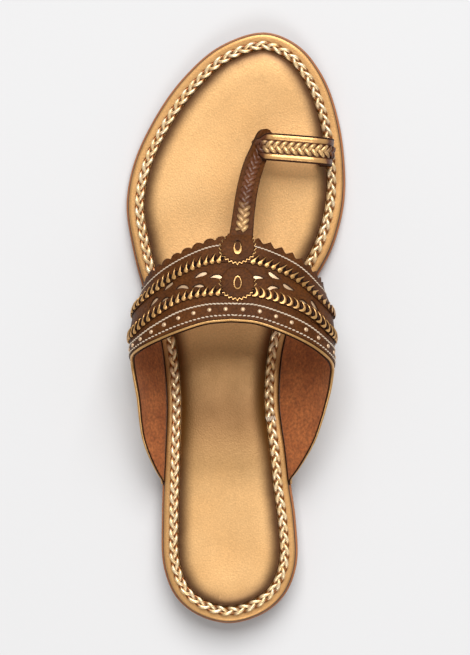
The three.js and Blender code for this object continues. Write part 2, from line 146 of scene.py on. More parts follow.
@dataclass(frozen=True)
class Finish:
    """What every finish shares: a name, a gloss and a fine grain that is raised by a bump."""

    name: str
    colour: str
    deep: str
    roughness: float = 0.5
    metallic: float = 0.0
    specular: float = 0.5
    grain_mm: float = 0.8
    grain_height_mm: float = 0.05
    mottle_mm: float = 14.0
    mottle: float = 0.35
    fleck_mm: float = 0.9
    fleck: float = 0.0

    def patches(self, tree: Tree, size_mm: float, detail: float = 3.0) -> Any:
        """An uneven pattern whose patches are about size_mm across.

        Args:
            tree: the material's tree.
            size_mm: the distance from one patch to the next.
            detail: how many finer octaves it has.

        Returns:
            The pattern's socket, from 0 to 1.
        """
        place = add(tree, "ShaderNodeTexCoord", result="Object")
        inputs = {"Vector": place, "Scale": 1 / (size_mm * MM), "Detail": detail}
        return add(tree, "ShaderNodeTexNoise", inputs)

    def grain(self, tree: Tree) -> Any:
        """The grain's height: rounded pebbles, each a cell, broken up by finer patches."""
        place = add(tree, "ShaderNodeTexCoord", result="Object")
        cells = add(tree, "ShaderNodeTexVoronoi", {"Vector": place, "Scale": 1 / (self.grain_mm * MM)})
        return add(tree, "ShaderNodeMath", (cells, self.patches(tree, self.grain_mm * 0.6, 2.0)))

    def base(self, tree: Tree) -> Any:
        """The base colour: two tones, mottled, with finer light and dark flecks.

        Args:
            tree: the material's tree.

        Returns:
            The colour's socket.
        """
        wide = {"Value": self.patches(tree, self.mottle_mm)}
        wide |= {"From Min": 0.5 - self.mottle, "From Max": 0.5 + self.mottle}
        spread = add(tree, "ShaderNodeMapRange", wide)
        toned = add(tree, "ShaderNodeMix", {0: spread, 6: self.deep, 7: self.colour}, 2, data_type="RGBA")
        if not self.fleck:
            return toned
        fine = {"Value": self.patches(tree, self.fleck_mm, 4.0), "From Min": 0.3, "From Max": 0.7}
        fine |= {"To Min": 1 - self.fleck, "To Max": 1 + self.fleck}
        bright = add(tree, "ShaderNodeMapRange", fine)
        return add(tree, "ShaderNodeVectorMath", {0: toned, "Scale": bright}, operation="SCALE")

    def shine(self, tree: Tree) -> Any:
        """The roughness: a little rougher and smoother from place to place."""
        inputs = {"Value": self.patches(tree, self.mottle_mm / 3)}
        inputs |= {"To Min": self.roughness - 0.06, "To Max": self.roughness + 0.08}
        return add(tree, "ShaderNodeMapRange", inputs)

    def trim(self, tree: Tree, shader: Any) -> None:
        """Sets what only some finishes have, on the shader's own sockets."""

    def material(self) -> bpy.types.Material:
        """The finish as a material, made once.

        Returns:
            The material, with all of its nodes.
        """
        if self.name in bpy.data.materials:
            return bpy.data.materials[self.name]
        made = bpy.data.materials.new(self.name)
        made.use_nodes = True
        made.diffuse_color = linear(self.colour)
        tree = made.node_tree
        tree.nodes.clear()
        raised = {"Height": self.grain(tree), "Distance": self.grain_height_mm * MM}
        inputs = {
            "Base Color": self.base(tree), "Roughness": self.shine(tree), "Metallic": self.metallic,
            "Specular IOR Level": self.specular, "Normal": add(tree, "ShaderNodeBump", raised)
        }
        shader = add(tree, "ShaderNodeBsdfPrincipled", inputs, None)
        self.trim(tree, shader)
        add(tree, "ShaderNodeOutputMaterial", {"Surface": shader.outputs["BSDF"]}, None)
        return made


@dataclass(frozen=True)
class EdgedFinish(Finish):
    """A finish that turns to another colour near an edge, by a mesh attribute in millimetres."""

    edge_attribute: str = "seam"
    edge_colour: str = "#4a2c17"
    edge_from: float = 0.0
    edge_to: float = 3.0
    edge_ragged: float = 0.8

    def base(self, tree: Tree) -> Any:
        """The two tones, turning to the edge's colour along a slightly uneven line.

        Args:
            tree: the material's tree.

        Returns:
            The colour's socket.
        """
        away = add(tree, "ShaderNodeAttribute", result="Fac", attribute_name=self.edge_attribute)
        terms = (self.patches(tree, 6.0, 4.0), self.edge_ragged * 2, away)
        inputs = {
            "Value": add(tree, "ShaderNodeMath", terms, operation="MULTIPLY_ADD"),
            "From Min": self.edge_from + self.edge_ragged, "From Max": self.edge_to + self.edge_ragged
        }
        inner = add(tree, "ShaderNodeMapRange", inputs, interpolation_type="SMOOTHSTEP")
        tones = {0: inner, 6: self.edge_colour, 7: super().base(tree)}
        return add(tree, "ShaderNodeMix", tones, 2, data_type="RGBA")


@dataclass(frozen=True)
class TonedFinish(EdgedFinish):
    """An edged finish, darkened further by a painted shadow wherever the mesh's shadow attribute is high.
    """

    # The colour of the painted shadow.
    toned: str = "#66410f"

    def base(self, tree: Tree) -> Any:
        """The edged colour, under the painted shadow."""
        tone = add(tree, "ShaderNodeAttribute", result="Fac", attribute_name="tone")
        tones = {0: tone, 6: super().base(tree), 7: self.toned}
        return add(tree, "ShaderNodeMix", tones, 2, data_type="RGBA")


@dataclass(frozen=True)
class GildedFinish(Finish):
    """Brown leather that is gilded where the mesh's gilt attribute is 1, rubbed through in places."""

    gilt: str = "#d8a55c"
    gilt_metallic: float = 0.6
    gilt_roughness: float = 0.34
    rubbed: float = 0.22
    raised_only: bool = False

    def gilded(self, tree: Tree) -> Any:
        """Where the gilding shows, from 0 to 1: on a plait, only on what is raised, so its sunken turns get
        painted shade.

        Args:
            tree: the material's tree.

        Returns:
            The socket.
        """
        gilt = add(tree, "ShaderNodeAttribute", result="Fac", attribute_name="gilt")
        terms = (self.patches(tree, 2.2, 4.0), self.rubbed * 2, gilt)
        worn = add(tree, "ShaderNodeMath", terms, operation="MULTIPLY_ADD")
        inputs = {"Value": worn, "From Min": 0.5, "From Max": 0.5 + 2 * self.rubbed}
        shown = add(tree, "ShaderNodeMapRange", inputs)
        if not self.raised_only:
            return shown
        rise = add(tree, "ShaderNodeAttribute", result="Fac", attribute_name="rise")
        raised = add(tree, "ShaderNodeMapRange", {"Value": rise, "From Min": -0.7, "From Max": 0.25})
        return add(tree, "ShaderNodeMath", (shown, raised), operation="MULTIPLY")

    def base(self, tree: Tree) -> Any:
        """Brown under, gold where it is gilded."""
        tones = {0: self.gilded(tree), 6: super().base(tree), 7: self.gilt}
        return add(tree, "ShaderNodeMix", tones, 2, data_type="RGBA")

    def trim(self, tree: Tree, shader: Any) -> None:
        """Makes the gilded places metallic and smoother.

        Args:
            tree: the material's tree.
            shader: the shader that covers the piece.
        """
        gilded = self.gilded(tree)
        metallic, roughness = (self.metallic, self.gilt_metallic), (self.roughness, self.gilt_roughness)
        for name, (low, high) in (("Metallic", metallic), ("Roughness", roughness)):
            made = add(tree, "ShaderNodeMapRange", {"Value": gilded, "To Min": low, "To Max": high})
            tree.links.new(made, shader.inputs[name])


@dataclass(frozen=True)
class Suede(Finish):
    """Napped leather: short fibres that lie over each other, with a soft sheen."""

    def grain(self, tree: Tree) -> Any:
        """Fine fibres over patches of brushed nap."""
        fibres, nap = self.patches(tree, self.grain_mm, 5.0), self.patches(tree, self.grain_mm * 6, 2.0)
        return add(tree, "ShaderNodeMath", (fibres, nap))

    def trim(self, tree: Tree, shader: Any) -> None:
        """Gives the nap its sheen."""
        shader.inputs["Sheen Weight"].default_value = 0.35
        shader.inputs["Sheen Roughness"].default_value = 0.5
        shader.inputs["Sheen Tint"].default_value = linear("#e0a880")


@dataclass(frozen=True)
class StackedFinish(Finish):
    """Layers of leather, glued flat and sanded at their edge: a dark line at each glue joint."""

    layer_mm: float = 1.9
    glue: str = "#2c170c"

    def base(self, tree: Tree) -> Any:
        """The two tones with a thin dark line at each joint, worked out from the height.

        Args:
            tree: the material's tree.

        Returns:
            The colour's socket.
        """
        place = add(tree, "ShaderNodeTexCoord", result="Object")
        height = add(tree, "ShaderNodeSeparateXYZ", {"Vector": place}, "Z")
        layers = add(tree, "ShaderNodeMath", (height, self.layer_mm * MM), operation="DIVIDE")
        within = add(tree, "ShaderNodeMath", (layers,), operation="FRACT")
        clear = add(tree, "ShaderNodeMapRange", {"Value": within, "From Max": 0.12})
        tones = {0: clear, 6: self.glue, 7: super().base(tree)}
        return add(tree, "ShaderNodeMix", tones, 2, data_type="RGBA")


class Finishes:
    """Every finish on the sandal, by what it covers."""

    # Polyurethane-coated leather, printed with gold pigment and rolled: a satin, sparkling gold.
    # Its real grain is too fine to show, so the grain and the sparkle are drawn coarser, at 0.7 mm.
    # Behind the band it darkens with a painted shadow of the band.
    PAD = TonedFinish(
        "gold_foiled_leather_pad", "#e9b97d", "#dfab6d", roughness=0.43, fleck=0.1, fleck_mm=0.75,
        # Its dark edge colour is partly an antiqued edge and partly painted shade in the roll down to the
        # trim.
        metallic=0.5, grain_mm=0.7, grain_height_mm=0.035, mottle_mm=22.0, edge_colour="#5a351a",
        edge_from=-0.4, edge_to=7.0, edge_ragged=0.7
    )
    # The same leather pulled over the board, with a painted edge: gold with one dark line.
    # Over the waist it too darkens with a painted shadow of the band.
    RIM = TonedFinish(
        "gold_foiled_leather_rim", "#dcaa6e", "#cc985c", roughness=0.4, fleck=0.09, fleck_mm=0.75,
        metallic=0.62, grain_mm=0.7, grain_height_mm=0.03, mottle_mm=16.0, edge_colour="#4c2b18",
        edge_from=0.2, edge_to=0.42, edge_ragged=0.08
    )
    # Vegetable-tanned goatskin, waxed dark: brown with a fine pebble and a low gloss.
    BROWN = EdgedFinish(
        "waxed_goatskin_brown", "#623817", "#43240d", roughness=0.48, specular=0.08, fleck=0.34,
        grain_mm=0.9, grain_height_mm=0.09, mottle_mm=9.0, edge_colour="#331b0e", edge_from=-0.05,
        edge_to=0.45, edge_ragged=0.1
    )
    # Goatskin with gold leaf rubbed into it: gold on the raised parts, brown in between.
    GILDED = GildedFinish(
        "gilded_goatskin", "#6e3d1f", "#4c2914", roughness=0.36, specular=0.35, grain_mm=0.8,
        grain_height_mm=0.04, gilt="#e3ae70"
    )
    # The same on a plait, whose sunken turns stay brown as painted shade.
    GILDED_PLAIT = GildedFinish(
        "gilded_goatskin_thong", "#6e3d1f", "#44230f", roughness=0.36, specular=0.35, grain_mm=0.8,
        grain_height_mm=0.03, gilt="#e2b67c", raised_only=True
    )
    # Thin kid leather coated in gold: smooth, with a soft gleam along each fold.
    GILT = Finish(
        "gold_kid_piping", "#e0b274", "#b98648", roughness=0.34, metallic=0.6, grain_mm=0.6,
        grain_height_mm=0.02, mottle_mm=5.0
    )
    # The same in an aged tone, on the outside of the wings: bronze rather than gold.
    BRONZE = EdgedFinish(
        "bronzed_goatskin", "#b98a52", "#94683a", roughness=0.42, metallic=0.55, grain_mm=0.9,
        grain_height_mm=0.05, mottle_mm=12.0, edge_colour="#4c2f1a", edge_from=-0.1, edge_to=1.2,
        edge_ragged=0.2
    )
    # Kid thongs with a bright foil: near white where they face the light; the amber where each thong dips
    # under the others is painted shade.
    FOIL = EdgedFinish(
        "bright_foil_thong", "#fff0d0", "#fccb7c", roughness=0.22, metallic=0.45, grain_mm=0.5,
        grain_height_mm=0.012, mottle_mm=3.0, edge_attribute="rise", edge_colour="#874a0e",
        edge_from=-0.8, edge_to=0.85, edge_ragged=0.15
    )
    # Nearly black pebbles where the thongs pass down through their slots: painted shade in the holes.
    SLOT = Finish("black_dyed_kid", "#22120a", "#160a05", roughness=0.8, specular=0.1, mottle_mm=4.0)
    # A dark amber, matt strip under the plait: painted shade that shows in its gaps.
    AMBER = Finish("amber_split_leather", "#74420f", "#4c2a0a", roughness=0.7, mottle_mm=4.0)
    # Split goatskin, flesh side out: rust brown and matt.
    # Its real nap is too fine to show, so it is drawn coarser, at 0.8 mm.
    SUEDE = Suede(
        "rust_suede_lining", "#b56a36", "#8a4720", roughness=0.92, fleck=0.36, fleck_mm=1.2, grain_mm=0.8,
        grain_height_mm=0.14, mottle_mm=7.0
    )
    # Brass studs, washed in pale gold: small bright domes.
    STUD = Finish(
        "pale_gilt_brass_stud", "#e8c8a4", "#d0a880", roughness=0.36, metallic=0.5, grain_mm=0.5,
        grain_height_mm=0.01, mottle_mm=2.0
    )
    # Waxed linen thread: off-white, with a dull gleam.
    THREAD = Finish(
        "waxed_linen_thread", "#e9d8c2", "#cbb397", roughness=0.42, grain_mm=0.35, grain_height_mm=0.05,
        mottle_mm=2.0
    )
    # Buffalo leather, dyed and burnished on the wheel: orange-brown with dark corners.
    SOLE_EDGE = EdgedFinish(
        "burnished_buffalo_edge", "#bb743c", "#9d5c2d", roughness=0.36, grain_mm=1.1,
        grain_height_mm=0.04, mottle_mm=8.0, edge_colour="#6b3a1c", edge_from=0.0, edge_to=0.9,
        edge_ragged=0.1
    )
    # Buffalo leather lifts, glued and sanded: brown with darker joints.
    HEEL = StackedFinish(
        "stacked_buffalo_heel", "#8d5630", "#6f4022", roughness=0.45, grain_mm=1.0, grain_height_mm=0.05,
        mottle_mm=7.0
    )
    # A painted backdrop: even, matt and nearly white.
    FLOOR = Finish(
        "studio_paper", "#dcdcdd", "#d9d9da", roughness=0.9, grain_mm=4.0, grain_height_mm=0.01,
        mottle_mm=400.0
    )


# ---------------------------------------------------------------- forms


@dataclass(frozen=True)
class SmoothTable:
    """Rows of sizes, read smoothly in between; the first column rises from row to row."""

    names: str
    rows: tuple[tuple[float, ...], ...]

    def column(self, name: str) -> Array:
        """One column's values."""
        return np.array([row[self.names.split().index(name)] for row in self.rows])

    def at(self, name: str, where: Any) -> Array:
        """A column's values at places in the first column.

        Args:
            name: the column.
            where: the places, one or many.

        Returns:
            The values, on cubic pieces whose slopes follow the neighbouring rows.
        """
        keys, values = self.column(self.names.split()[0]), self.column(name)
        where = np.asarray(where, float)
        last = len(keys) - 1
        i = np.clip(np.searchsorted(keys, where, side="left") - 1, 0, last - 1)
        before, after = np.maximum(0, i - 1), np.minimum(last, i + 2)
        span = keys[i + 1] - keys[i]
        t = np.clip((where - keys[i]) / span, 0, 1)
        start = span * (values[i + 1] - values[before]) / (keys[i + 1] - keys[before])
        end = span * (values[after] - values[i]) / (keys[after] - keys[i])
        return cubic(t, values[i], start, values[i + 1], end, 1.0)


def cubic(t: Array, first: Array, start: Array, last: Array, end: Array, span: Any) -> Array:
    """A cubic piece, read at shares of its span.

    Args:
        t: the shares, from 0 to 1.
        first: the value where it starts.
        start: the slope there.
        last: the value where it ends.
        end: the slope there.
        span: how long the piece is, in the slopes' measure.

    Returns:
        The values.
    """
    return (
        (2 * t**3 - 3 * t**2 + 1) * first
        + (t**3 - 2 * t**2 + t) * start * span
        + (3 * t**2 - 2 * t**3) * last
        + (t**3 - t**2) * end * span
    )


def smooth_step(value: Any, low: float, high: float) -> Array:
    """0 below low, 1 above high and a smooth rise in between."""
    t = np.clip((np.asarray(value, float) - low) / (high - low), 0, 1)
    return t * t * (3 - 2 * t)


def unit(vectors: Array) -> Array:
    """Vectors brought to length 1."""
    return vectors / np.maximum(np.linalg.norm(vectors, axis=-1, keepdims=True), 1e-12)


def smooth_line(points: Sequence[Sequence[float]], count: int, closed: bool = False) -> Array:
    """A centripetal Catmull-Rom curve through points.

    Args:
        points: what it goes through.
        count: how many points to return, evenly spaced in the curve's own measure.
        closed: whether it joins up.

    Returns:
        The curve's points, one row each.
    """
    given = np.array(points, float)
    if closed:
        padded = np.vstack([given[-1:], given, given[:2]])
        measure = np.arange(count) / count * len(given)
    else:
        first, last = 2 * given[0] - given[1], 2 * given[-1] - given[-2]
        padded = np.vstack([first, given, last])
        measure = np.linspace(0, len(given) - 1, count)
    i = np.minimum(measure.astype(int), len(padded) - 4)
    t = (measure - i)[:, None]
    p = [padded[i + k] for k in range(4)]
    gap = [np.sqrt(np.linalg.norm(p[k + 1] - p[k], axis=1))[:, None] for k in range(3)]
    slope_in = (p[1] - p[0]) / gap[0] - (p[2] - p[0]) / (gap[0] + gap[1]) + (p[2] - p[1]) / gap[1]
    slope_out = (p[2] - p[1]) / gap[1] - (p[3] - p[1]) / (gap[1] + gap[2]) + (p[3] - p[2]) / gap[2]
    return cubic(t, p[1], slope_in, p[2], slope_out, gap[1])


def left_of(line: Array) -> Array:
    """The direction to the left of an open line at each of its points, seen from above."""
    along = unit(np.gradient(line, axis=0))
    return np.stack([-along[:, 1], along[:, 0]], axis=1)


def lengths_along(points: Array) -> Array:
    """The length along a line at each of its points."""
    return np.concatenate([[0], np.cumsum(np.linalg.norm(np.diff(points, axis=0), axis=1))])


def evenly(points: Array, count: int) -> Array:
    """The same line with count points at equal lengths."""
    along = lengths_along(points)
    wanted = np.linspace(0, along[-1], count)
    return np.stack([np.interp(wanted, along, points[:, k]) for k in range(points.shape[1])], axis=1)


@dataclass(frozen=True)
class SoleForm:
    """The sole's outline and levels, in millimetres."""

    length: float = 249.6
    gap: float = 0.3
    outsole_thickness: float = 4.6
    heel_height: float = 8.0
    heel_breast_y: float = -62.0
    arch_start_y: float = -58.0
    ball_start_y: float = -5.0
    toe_spring_start_y: float = 58.0
    toe_spring: float = 4.0
    board_thickness: float = 3.0
    trim_width: float = 3.9
    trim_height: float = 2.2
    pad_height: float = 4.4
    samples: int = 12
    heel_tip: tuple[float, float] = (-2.6, -124.8)
    toe_tip: tuple[float, float] = (12.5, 124.8)
    sections: SmoothTable = SmoothTable(
        "y lateral medial board rim",
        (
            (-121, -16.4, 11.4, 0.9, 2.7), (-113, -25.4, 20.9, 0.9, 2.6), (-100, -30.3, 26.1, 0.9, 2.5),
            (-80, -30.9, 25.6, 0.9, 2.5), (-66, -30.6, 23.7, 1.0, 2.4), (-52, -30.9, 23.1, 1.9, 2.1),
            (-30, -30.7, 20.6, 2.0, 2.0), (-8, -32.9, 22.3, 2.0, 2.0), (8, -36.7, 27.8, 1.8, 2.2),
            (20, -40.3, 34.0, 1.1, 2.6), (34, -43.8, 41.3, 0.9, 2.9), (52, -46.3, 46.0, 0.9, 2.9),
            (70, -43.1, 46.3, 0.9, 2.9), (90, -33.6, 43.2, 0.9, 3.0), (106, -21.9, 37.3, 0.9, 3.1),
            (119, -6.6, 27.0, 0.9, 3.0),
        ),
    )

    @property
    def board_level(self) -> float:
        """Height of the board's underside above the outsole's."""
        return self.outsole_thickness + self.gap

    @property
    def board_top(self) -> float:
        """Height of the board's top above the outsole's underside."""
        return self.board_level + self.board_thickness

    @property
    def pad_level(self) -> float:
        """Height at which the footbed and the trim lie."""
        return self.board_top + self.gap

    @property
    def footbed(self) -> float:
        """Height of the footbed's flat above the outsole's underside."""
        return self.pad_level + self.pad_height

    def underside(self, y: Any) -> Array:
        """Height of the outsole's underside above the floor.

        Args:
            y: the sections, one or many.

        Returns:
            The height at each.
        """
        y = np.asarray(y, float)
        share = np.clip(
            (y - self.toe_spring_start_y) / (self.length / 2 - self.toe_spring_start_y), 0, None
        )
        arch = self.heel_height * (1 - smooth_step(y, self.arch_start_y, self.ball_start_y))
        return arch + self.toe_spring * share**2

    @cached_property
    def outline(self) -> Array:
        """The closed outline, seen from above: heel tip, medial side, toe tip, lateral side."""
        y = self.sections.column("y")
        medial = np.stack([self.sections.column("medial"), y], axis=1)
        lateral = np.stack([self.sections.column("lateral"), y], axis=1)[::-1]
        around = np.vstack([[self.heel_tip], medial, [self.toe_tip], lateral])
        return smooth_line(around, len(around) * self.samples, closed=True)

    def board_inset(self, y: Any) -> Array:
        """How far the board's edge stands inside the outline at a section."""
        return self.sections.at("board", y)

    def trim_inset(self, y: Any) -> Array:
        """How far the trim's outer edge stands inside the outline at a section."""
        return self.board_inset(y) + self.sections.at("rim", y)

    def ring(self, inset: float, level: float, measured_from: Callable | None = None) -> Array:
        """The outline moved inwards, at a level above the outsole's underside.

        Args:
            inset: how far inwards.
            level: the height above the underside.
            measured_from: what the inset is measured from, as an inset at each y.

        Returns:
            One point for each point of the outline.
        """
        line = self.outline
        along = unit(np.roll(line, -1, axis=0) - np.roll(line, 1, axis=0))
        move = inset + (measured_from(line[:, 1]) if measured_from else 0)
        x, y = line[:, 0] - along[:, 1] * move, line[:, 1] + along[:, 0] * move
        return np.stack([x, y, self.underside(y) + level], axis=1)

    @cached_property
    def board_edges(self) -> dict[Side, Array]:
        """The board's edge on each side, from the heel to the toes, as x and y."""
        edge = self.ring(0, 0, self.board_inset)[:, :2]
        half = len(edge) // 2
        lateral = np.vstack([edge[half:], edge[:1]])[::-1]
        return {Side.MEDIAL: edge[: half + 1], Side.LATERAL: lateral}

    def board_edge(self, y: Any, side: Side) -> Array:
        """The x of the board's edge at a section."""
        edge = self.board_edges[side]
        return np.interp(y, edge[:, 1], edge[:, 0])


@dataclass(frozen=True)
class BandForm:
    """The instep band's inside surface, and the flat pattern that wraps round it.

    A place on the pattern is (u, v): u is the girth from the crown in millimetres, negative on
    the lateral side, and v is the y of the foot.
    """

    sole: SoleForm
    flange_top: float = 4.6
    widest_at: float = 0.56
    squareness: float = 2.2
    pattern_lift: float = 2.4
    pared_from: float = 0.8
    pared_to: float = 0.5
    sections: SmoothTable = SmoothTable(
        "y lateral medial widest crown",
        (
            (-66, -41.6, 38.4, 38.5, 68), (-47, -42.0, 41.2, 38, 67), (-30, -40.2, 40.8, 37.5, 66),
            (-15, -40.9, 40.2, 36, 64), (-3, -40.5, 39.7, 33.5, 60.5), (6, -39.1, 38.7, 31.5, 57),
            (17, -35.4, 35.4, 28, 52), (38, -36.2, 36.2, 24, 43),
        ),
    )
    # The y of each row round the half girth: 0 is the crown and 1 the foot of the wall. The rows
    # are the front cut, the rear of each laced strip, the strap's rear cut and the base's.
    rows: SmoothTable = SmoothTable(
        "around lateral_front medial_front lateral_lace_1 medial_lace_1 "
        "lateral_lace_2 medial_lace_2 lateral_strap medial_strap lateral_back medial_back",
        (
            (0, 36.6, 36.6, 26, 26, 12, 12, 2.8, 2.8, 2.8, 2.8),
            (0.08, 35.2, 35.6, 25.0, 25.0, 11.9, 11.6, 1.8, 1.9, 1.8, 1.9),
            (0.18, 31.4, 32.1, 21.5, 22.0, 9.5, 8.6, -1.5, -1.6, -1.5, -1.6),
            (0.29, 27, 27.9, 16.2, 16.8, 3.6, 4.2, -5.4, -6, -5.4, -6),
            (0.42, 22.1, 22.3, 8.6, 8.0, -3.0, -2.6, -9.4, -11.3, -9.4, -11.3),
            (0.52, 18.3, 18.3, 5.0, 4.4, -5.5, -5.6, -12, -14.8, -12, -14.8),
            (0.6, 16.9, 16.9, 3.6, 3.5, -6.6, -6.9, -14.2, -17.2, -16.5, -19.3),
            (0.665, 16.6, 16.6, 3.3, 3.3, -6.9, -7.2, -15.2, -18.2, -26, -27.4),
            (0.73, 16.5, 16.5, 3.2, 3.2, -7, -7.4, -15.6, -18.6, -37, -37.2),
            (0.8, 16.5, 16.5, 3.2, 3.2, -7, -7.5, -15.8, -18.8, -48.6, -48.4),
            (0.88, 16.7, 16.7, 3.2, 3.2, -7, -7.5, -16, -19, -58.3, -58.2),
            (0.94, 16.9, 16.9, 3.2, 3.2, -7, -7.5, -16, -19, -63.4, -63.2),
            (1, 17, 17, 3.2, 3.2, -7, -7.5, -16, -19, -65.6, -65.6),
        ),
    )

    def inside(self, around: Any, y: Any) -> Array:
        """Points on the band's inside.

        Args:
            around: the places around, from -1, the lateral foot, over 0 to 1, the medial foot.
            y: the section of each.

        Returns:
            The points.
        """
        around, y = np.broadcast_arrays(np.asarray(around, float), np.asarray(y, float))
        share, lateral = np.abs(around), around < 0
        sign = np.where(lateral, -1.0, 1.0)
        widest = np.where(lateral, self.sections.at("lateral", y), self.sections.at("medial", y))
        widest_z, crown = self.sections.at("widest", y), self.sections.at("crown", y)
        angle = np.pi / 2 * np.clip(share / self.widest_at, 0, 1)
        power = 2 / self.squareness
        upper_x = widest * np.sin(angle) ** power
        upper_z = widest_z + (crown - widest_z) * np.cos(angle).clip(0) ** power
        edges = [self.sole.board_edge(y, side) for side in (Side.LATERAL, Side.MEDIAL)]
        foot = np.where(lateral, edges[0], edges[1]) + sign * self.sole.gap
        foot_z = self.sole.underside(y) + self.flange_top
        z = foot_z + (widest_z - foot_z) * (1 - share) / (1 - self.widest_at)
        clear = foot_z + self.sole.gap + self.sole.board_thickness
        lean = np.clip((z - clear) / (widest_z - clear), 0, 1)
        lower_x = foot + (widest - foot) * np.sin(np.pi / 2 * lean)
        high = share < self.widest_at
        x, z = np.where(high, upper_x, lower_x), np.where(high, upper_z, z)
        return np.stack([x, y, z], axis=-1)

    def outward(self, around: Any, y: Any) -> Array:
        """The surface's outward direction, of length 1.

        Args:
            around: the places around.
            y: the section of each.

        Returns:
            The direction at each place.
        """
        around, y = np.asarray(around, float), np.asarray(y, float)
        low, high = np.clip(around - 0.012, -1, 1), np.clip(around + 0.012, -1, 1)
        across = self.inside(high, y) - self.inside(low, y)
        along = self.inside(around, y + 0.5) - self.inside(around, y - 0.5)
        return unit(np.cross(across, along))

    def lifted(self, around: Any, y: Any, lift: Any) -> Array:
        """Points at a height over the inside; all the leather is pared towards the foot.

        Args:
            around: the places around.
            y: the section of each.
            lift: the height of each.

        Returns:
            The points.
        """
        share = np.abs(np.asarray(around, float))
        pared = 1 - (1 - self.pared_to) * np.clip((share - self.pared_from) / (1 - self.pared_from), 0, 1)
        height = (np.asarray(lift, float) * pared)[..., None]
        return self.inside(around, y) + self.outward(around, y) * height

    @cached_property
    def girths(self) -> tuple[Array, Array, Array]:
        """A table of girths: the levels of y, the places around, and u at each of both."""
        levels, around = np.arange(-68.0, 42.0, 1.5), np.linspace(-1, 1, 321)
        grid = self.lifted(around[None, :], levels[:, None], self.pattern_lift)
        steps = np.linalg.norm(np.diff(grid, axis=1), axis=2)
        girth = np.concatenate([np.zeros((len(levels), 1)), np.cumsum(steps, axis=1)], axis=1)
        return levels, around, girth - girth[:, 160:161]

    def looked_up(self, wanted: Any, v: Any, read: Callable[[Array, int], Array]) -> Array:
        """Reads the table of girths between its levels.

        Args:
            wanted: what is looked up, one or many.
            v: the level of each.
            read: reads some of what is wanted on one level, by the level's place in the table.

        Returns:
            The value for each, mixed from the two nearest levels.
        """
        levels = self.girths[0]
        wanted, v = np.broadcast_arrays(np.asarray(wanted, float), np.asarray(v, float))
        place = np.clip((v - levels[0]) / (levels[1] - levels[0]), 0, len(levels) - 1.001)
        row, share = place.astype(int), place - place.astype(int)
        found = np.zeros(wanted.shape)
        for r in np.unique(row):
            here = row == r
            first, second = (read(wanted[here], k) for k in (r, r + 1))
            found[here] = first + (second - first) * share[here]
        return found

    def around_at(self, u: Any, v: Any) -> Array:
        """The place around that lies at u on the pattern, at a level v."""
        _, around, girth = self.girths
        return self.looked_up(u, v, lambda some, level: np.interp(some, girth[level], around))

    def girth_at(self, around: Any, v: Any) -> Array:
        """The u of a place around, at a level v."""
        _, places, girth = self.girths
        return self.looked_up(around, v, lambda some, level: np.interp(some, places, girth[level]))

    def wrap(self, flat: Array, lift: Any) -> Array:
        """Places on the flat pattern, wrapped round the band at a height over its inside."""
        return self.lifted(self.around_at(flat[..., 0], flat[..., 1]), flat[..., 1], lift)

    def row_y(self, row: str, around: Any) -> Array:
        """The y of a row at places around."""
        around = np.asarray(around, float)
        sides = [self.rows.at(f"{side.column}_{row}", np.abs(around)) for side in Side]
        return np.where(around < 0, sides[0], sides[1])

    def row_line(self, row: str, count: int) -> Array:
        """A row on the flat pattern, from the lateral side to the medial side.

        Args:
            row: the row's name in the table, without its side.
            count: how many points, evenly spaced along it.

        Returns:
            Its places (u, v).
        """
        around = np.linspace(-1, 1, 401)
        v = self.row_y(row, around)
        return evenly(np.stack([self.girth_at(around, v), v], axis=1), count)


def shifted(line: Array, distance: Any) -> Array:
    """A line on a pattern, moved to its left by a distance (towards the toes for the rows)."""
    return line + left_of(line) * distance


# ---------------------------------------------------------------- mesh tools


def finished(
    name: str, vertices: Array, faces: Iterable[Sequence[int]], finish: Finish | None = None,
    attributes: dict[str, Array] | None = None, crease: float = 38.0
) -> Piece:
    """An object of a mesh whose points are in millimetres.

    Args:
        name: the object's name.
        vertices: the points, in millimetres.
        faces: the corners of each face.
        finish: what it is covered in.
        attributes: a number for each point, by name.
        crease: edges that turn more than this many degrees stay sharp.

    Returns:
        The object, linked to the scene, with its doubles merged and its faces turned outwards.
    """
    mesh = bpy.data.meshes.new(name)
    mesh.from_pydata((np.asarray(vertices) * MM).tolist(), [], [list(map(int, f)) for f in faces])
    for key, values in (attributes or {}).items():
        mesh.attributes.new(key, "FLOAT", "POINT").data.foreach_set(
            "value", np.asarray(values, np.float32).ravel()
        )
    tidy(mesh, crease)
    if finish is not None:
        mesh.materials.append(finish.material())
    return linked(name, mesh)


def linked(name: str, data: bpy.types.ID) -> Piece:
    """A new object of a mesh, a lamp or a camera, linked to the scene."""
    made = bpy.data.objects.new(name, data)
    bpy.context.scene.collection.objects.link(made)
    return made


def tidy(mesh: bpy.types.Mesh, crease: float) -> None:
    """Merges doubles, turns the faces outwards and shades them smooth between creases.

    Args:
        mesh: the mesh, changed in place.
        crease: edges that turn more than this many degrees stay sharp.
    """
    work = bmesh.new()
    work.from_mesh(mesh)
    bmesh.ops.remove_doubles(work, verts=work.verts, dist=1e-6)
    bmesh.ops.dissolve_degenerate(work, edges=work.edges, dist=1e-7)
    bmesh.ops.recalc_face_normals(work, faces=work.faces)
    for face in work.faces:
        face.smooth = True
    for edge in work.edges:
        edge.smooth = not (len(edge.link_faces) == 2 and edge.calc_face_angle(0) > math.radians(crease))
    work.to_mesh(mesh)
    work.free()


def joined(name: str, parts: Sequence[Piece]) -> Piece:
    """Several objects made one.

    Args:
        name: the new object's name.
        parts: the objects, each with one material.

    Returns:
        The one object that has all their faces and materials.
    """
    with bpy.context.temp_override(
        active_object=parts[0], object=parts[0], selected_editable_objects=list(parts)
    ):
        bpy.ops.object.join()
    parts[0].name = name
    parts[0].data.name = name
    return parts[0]


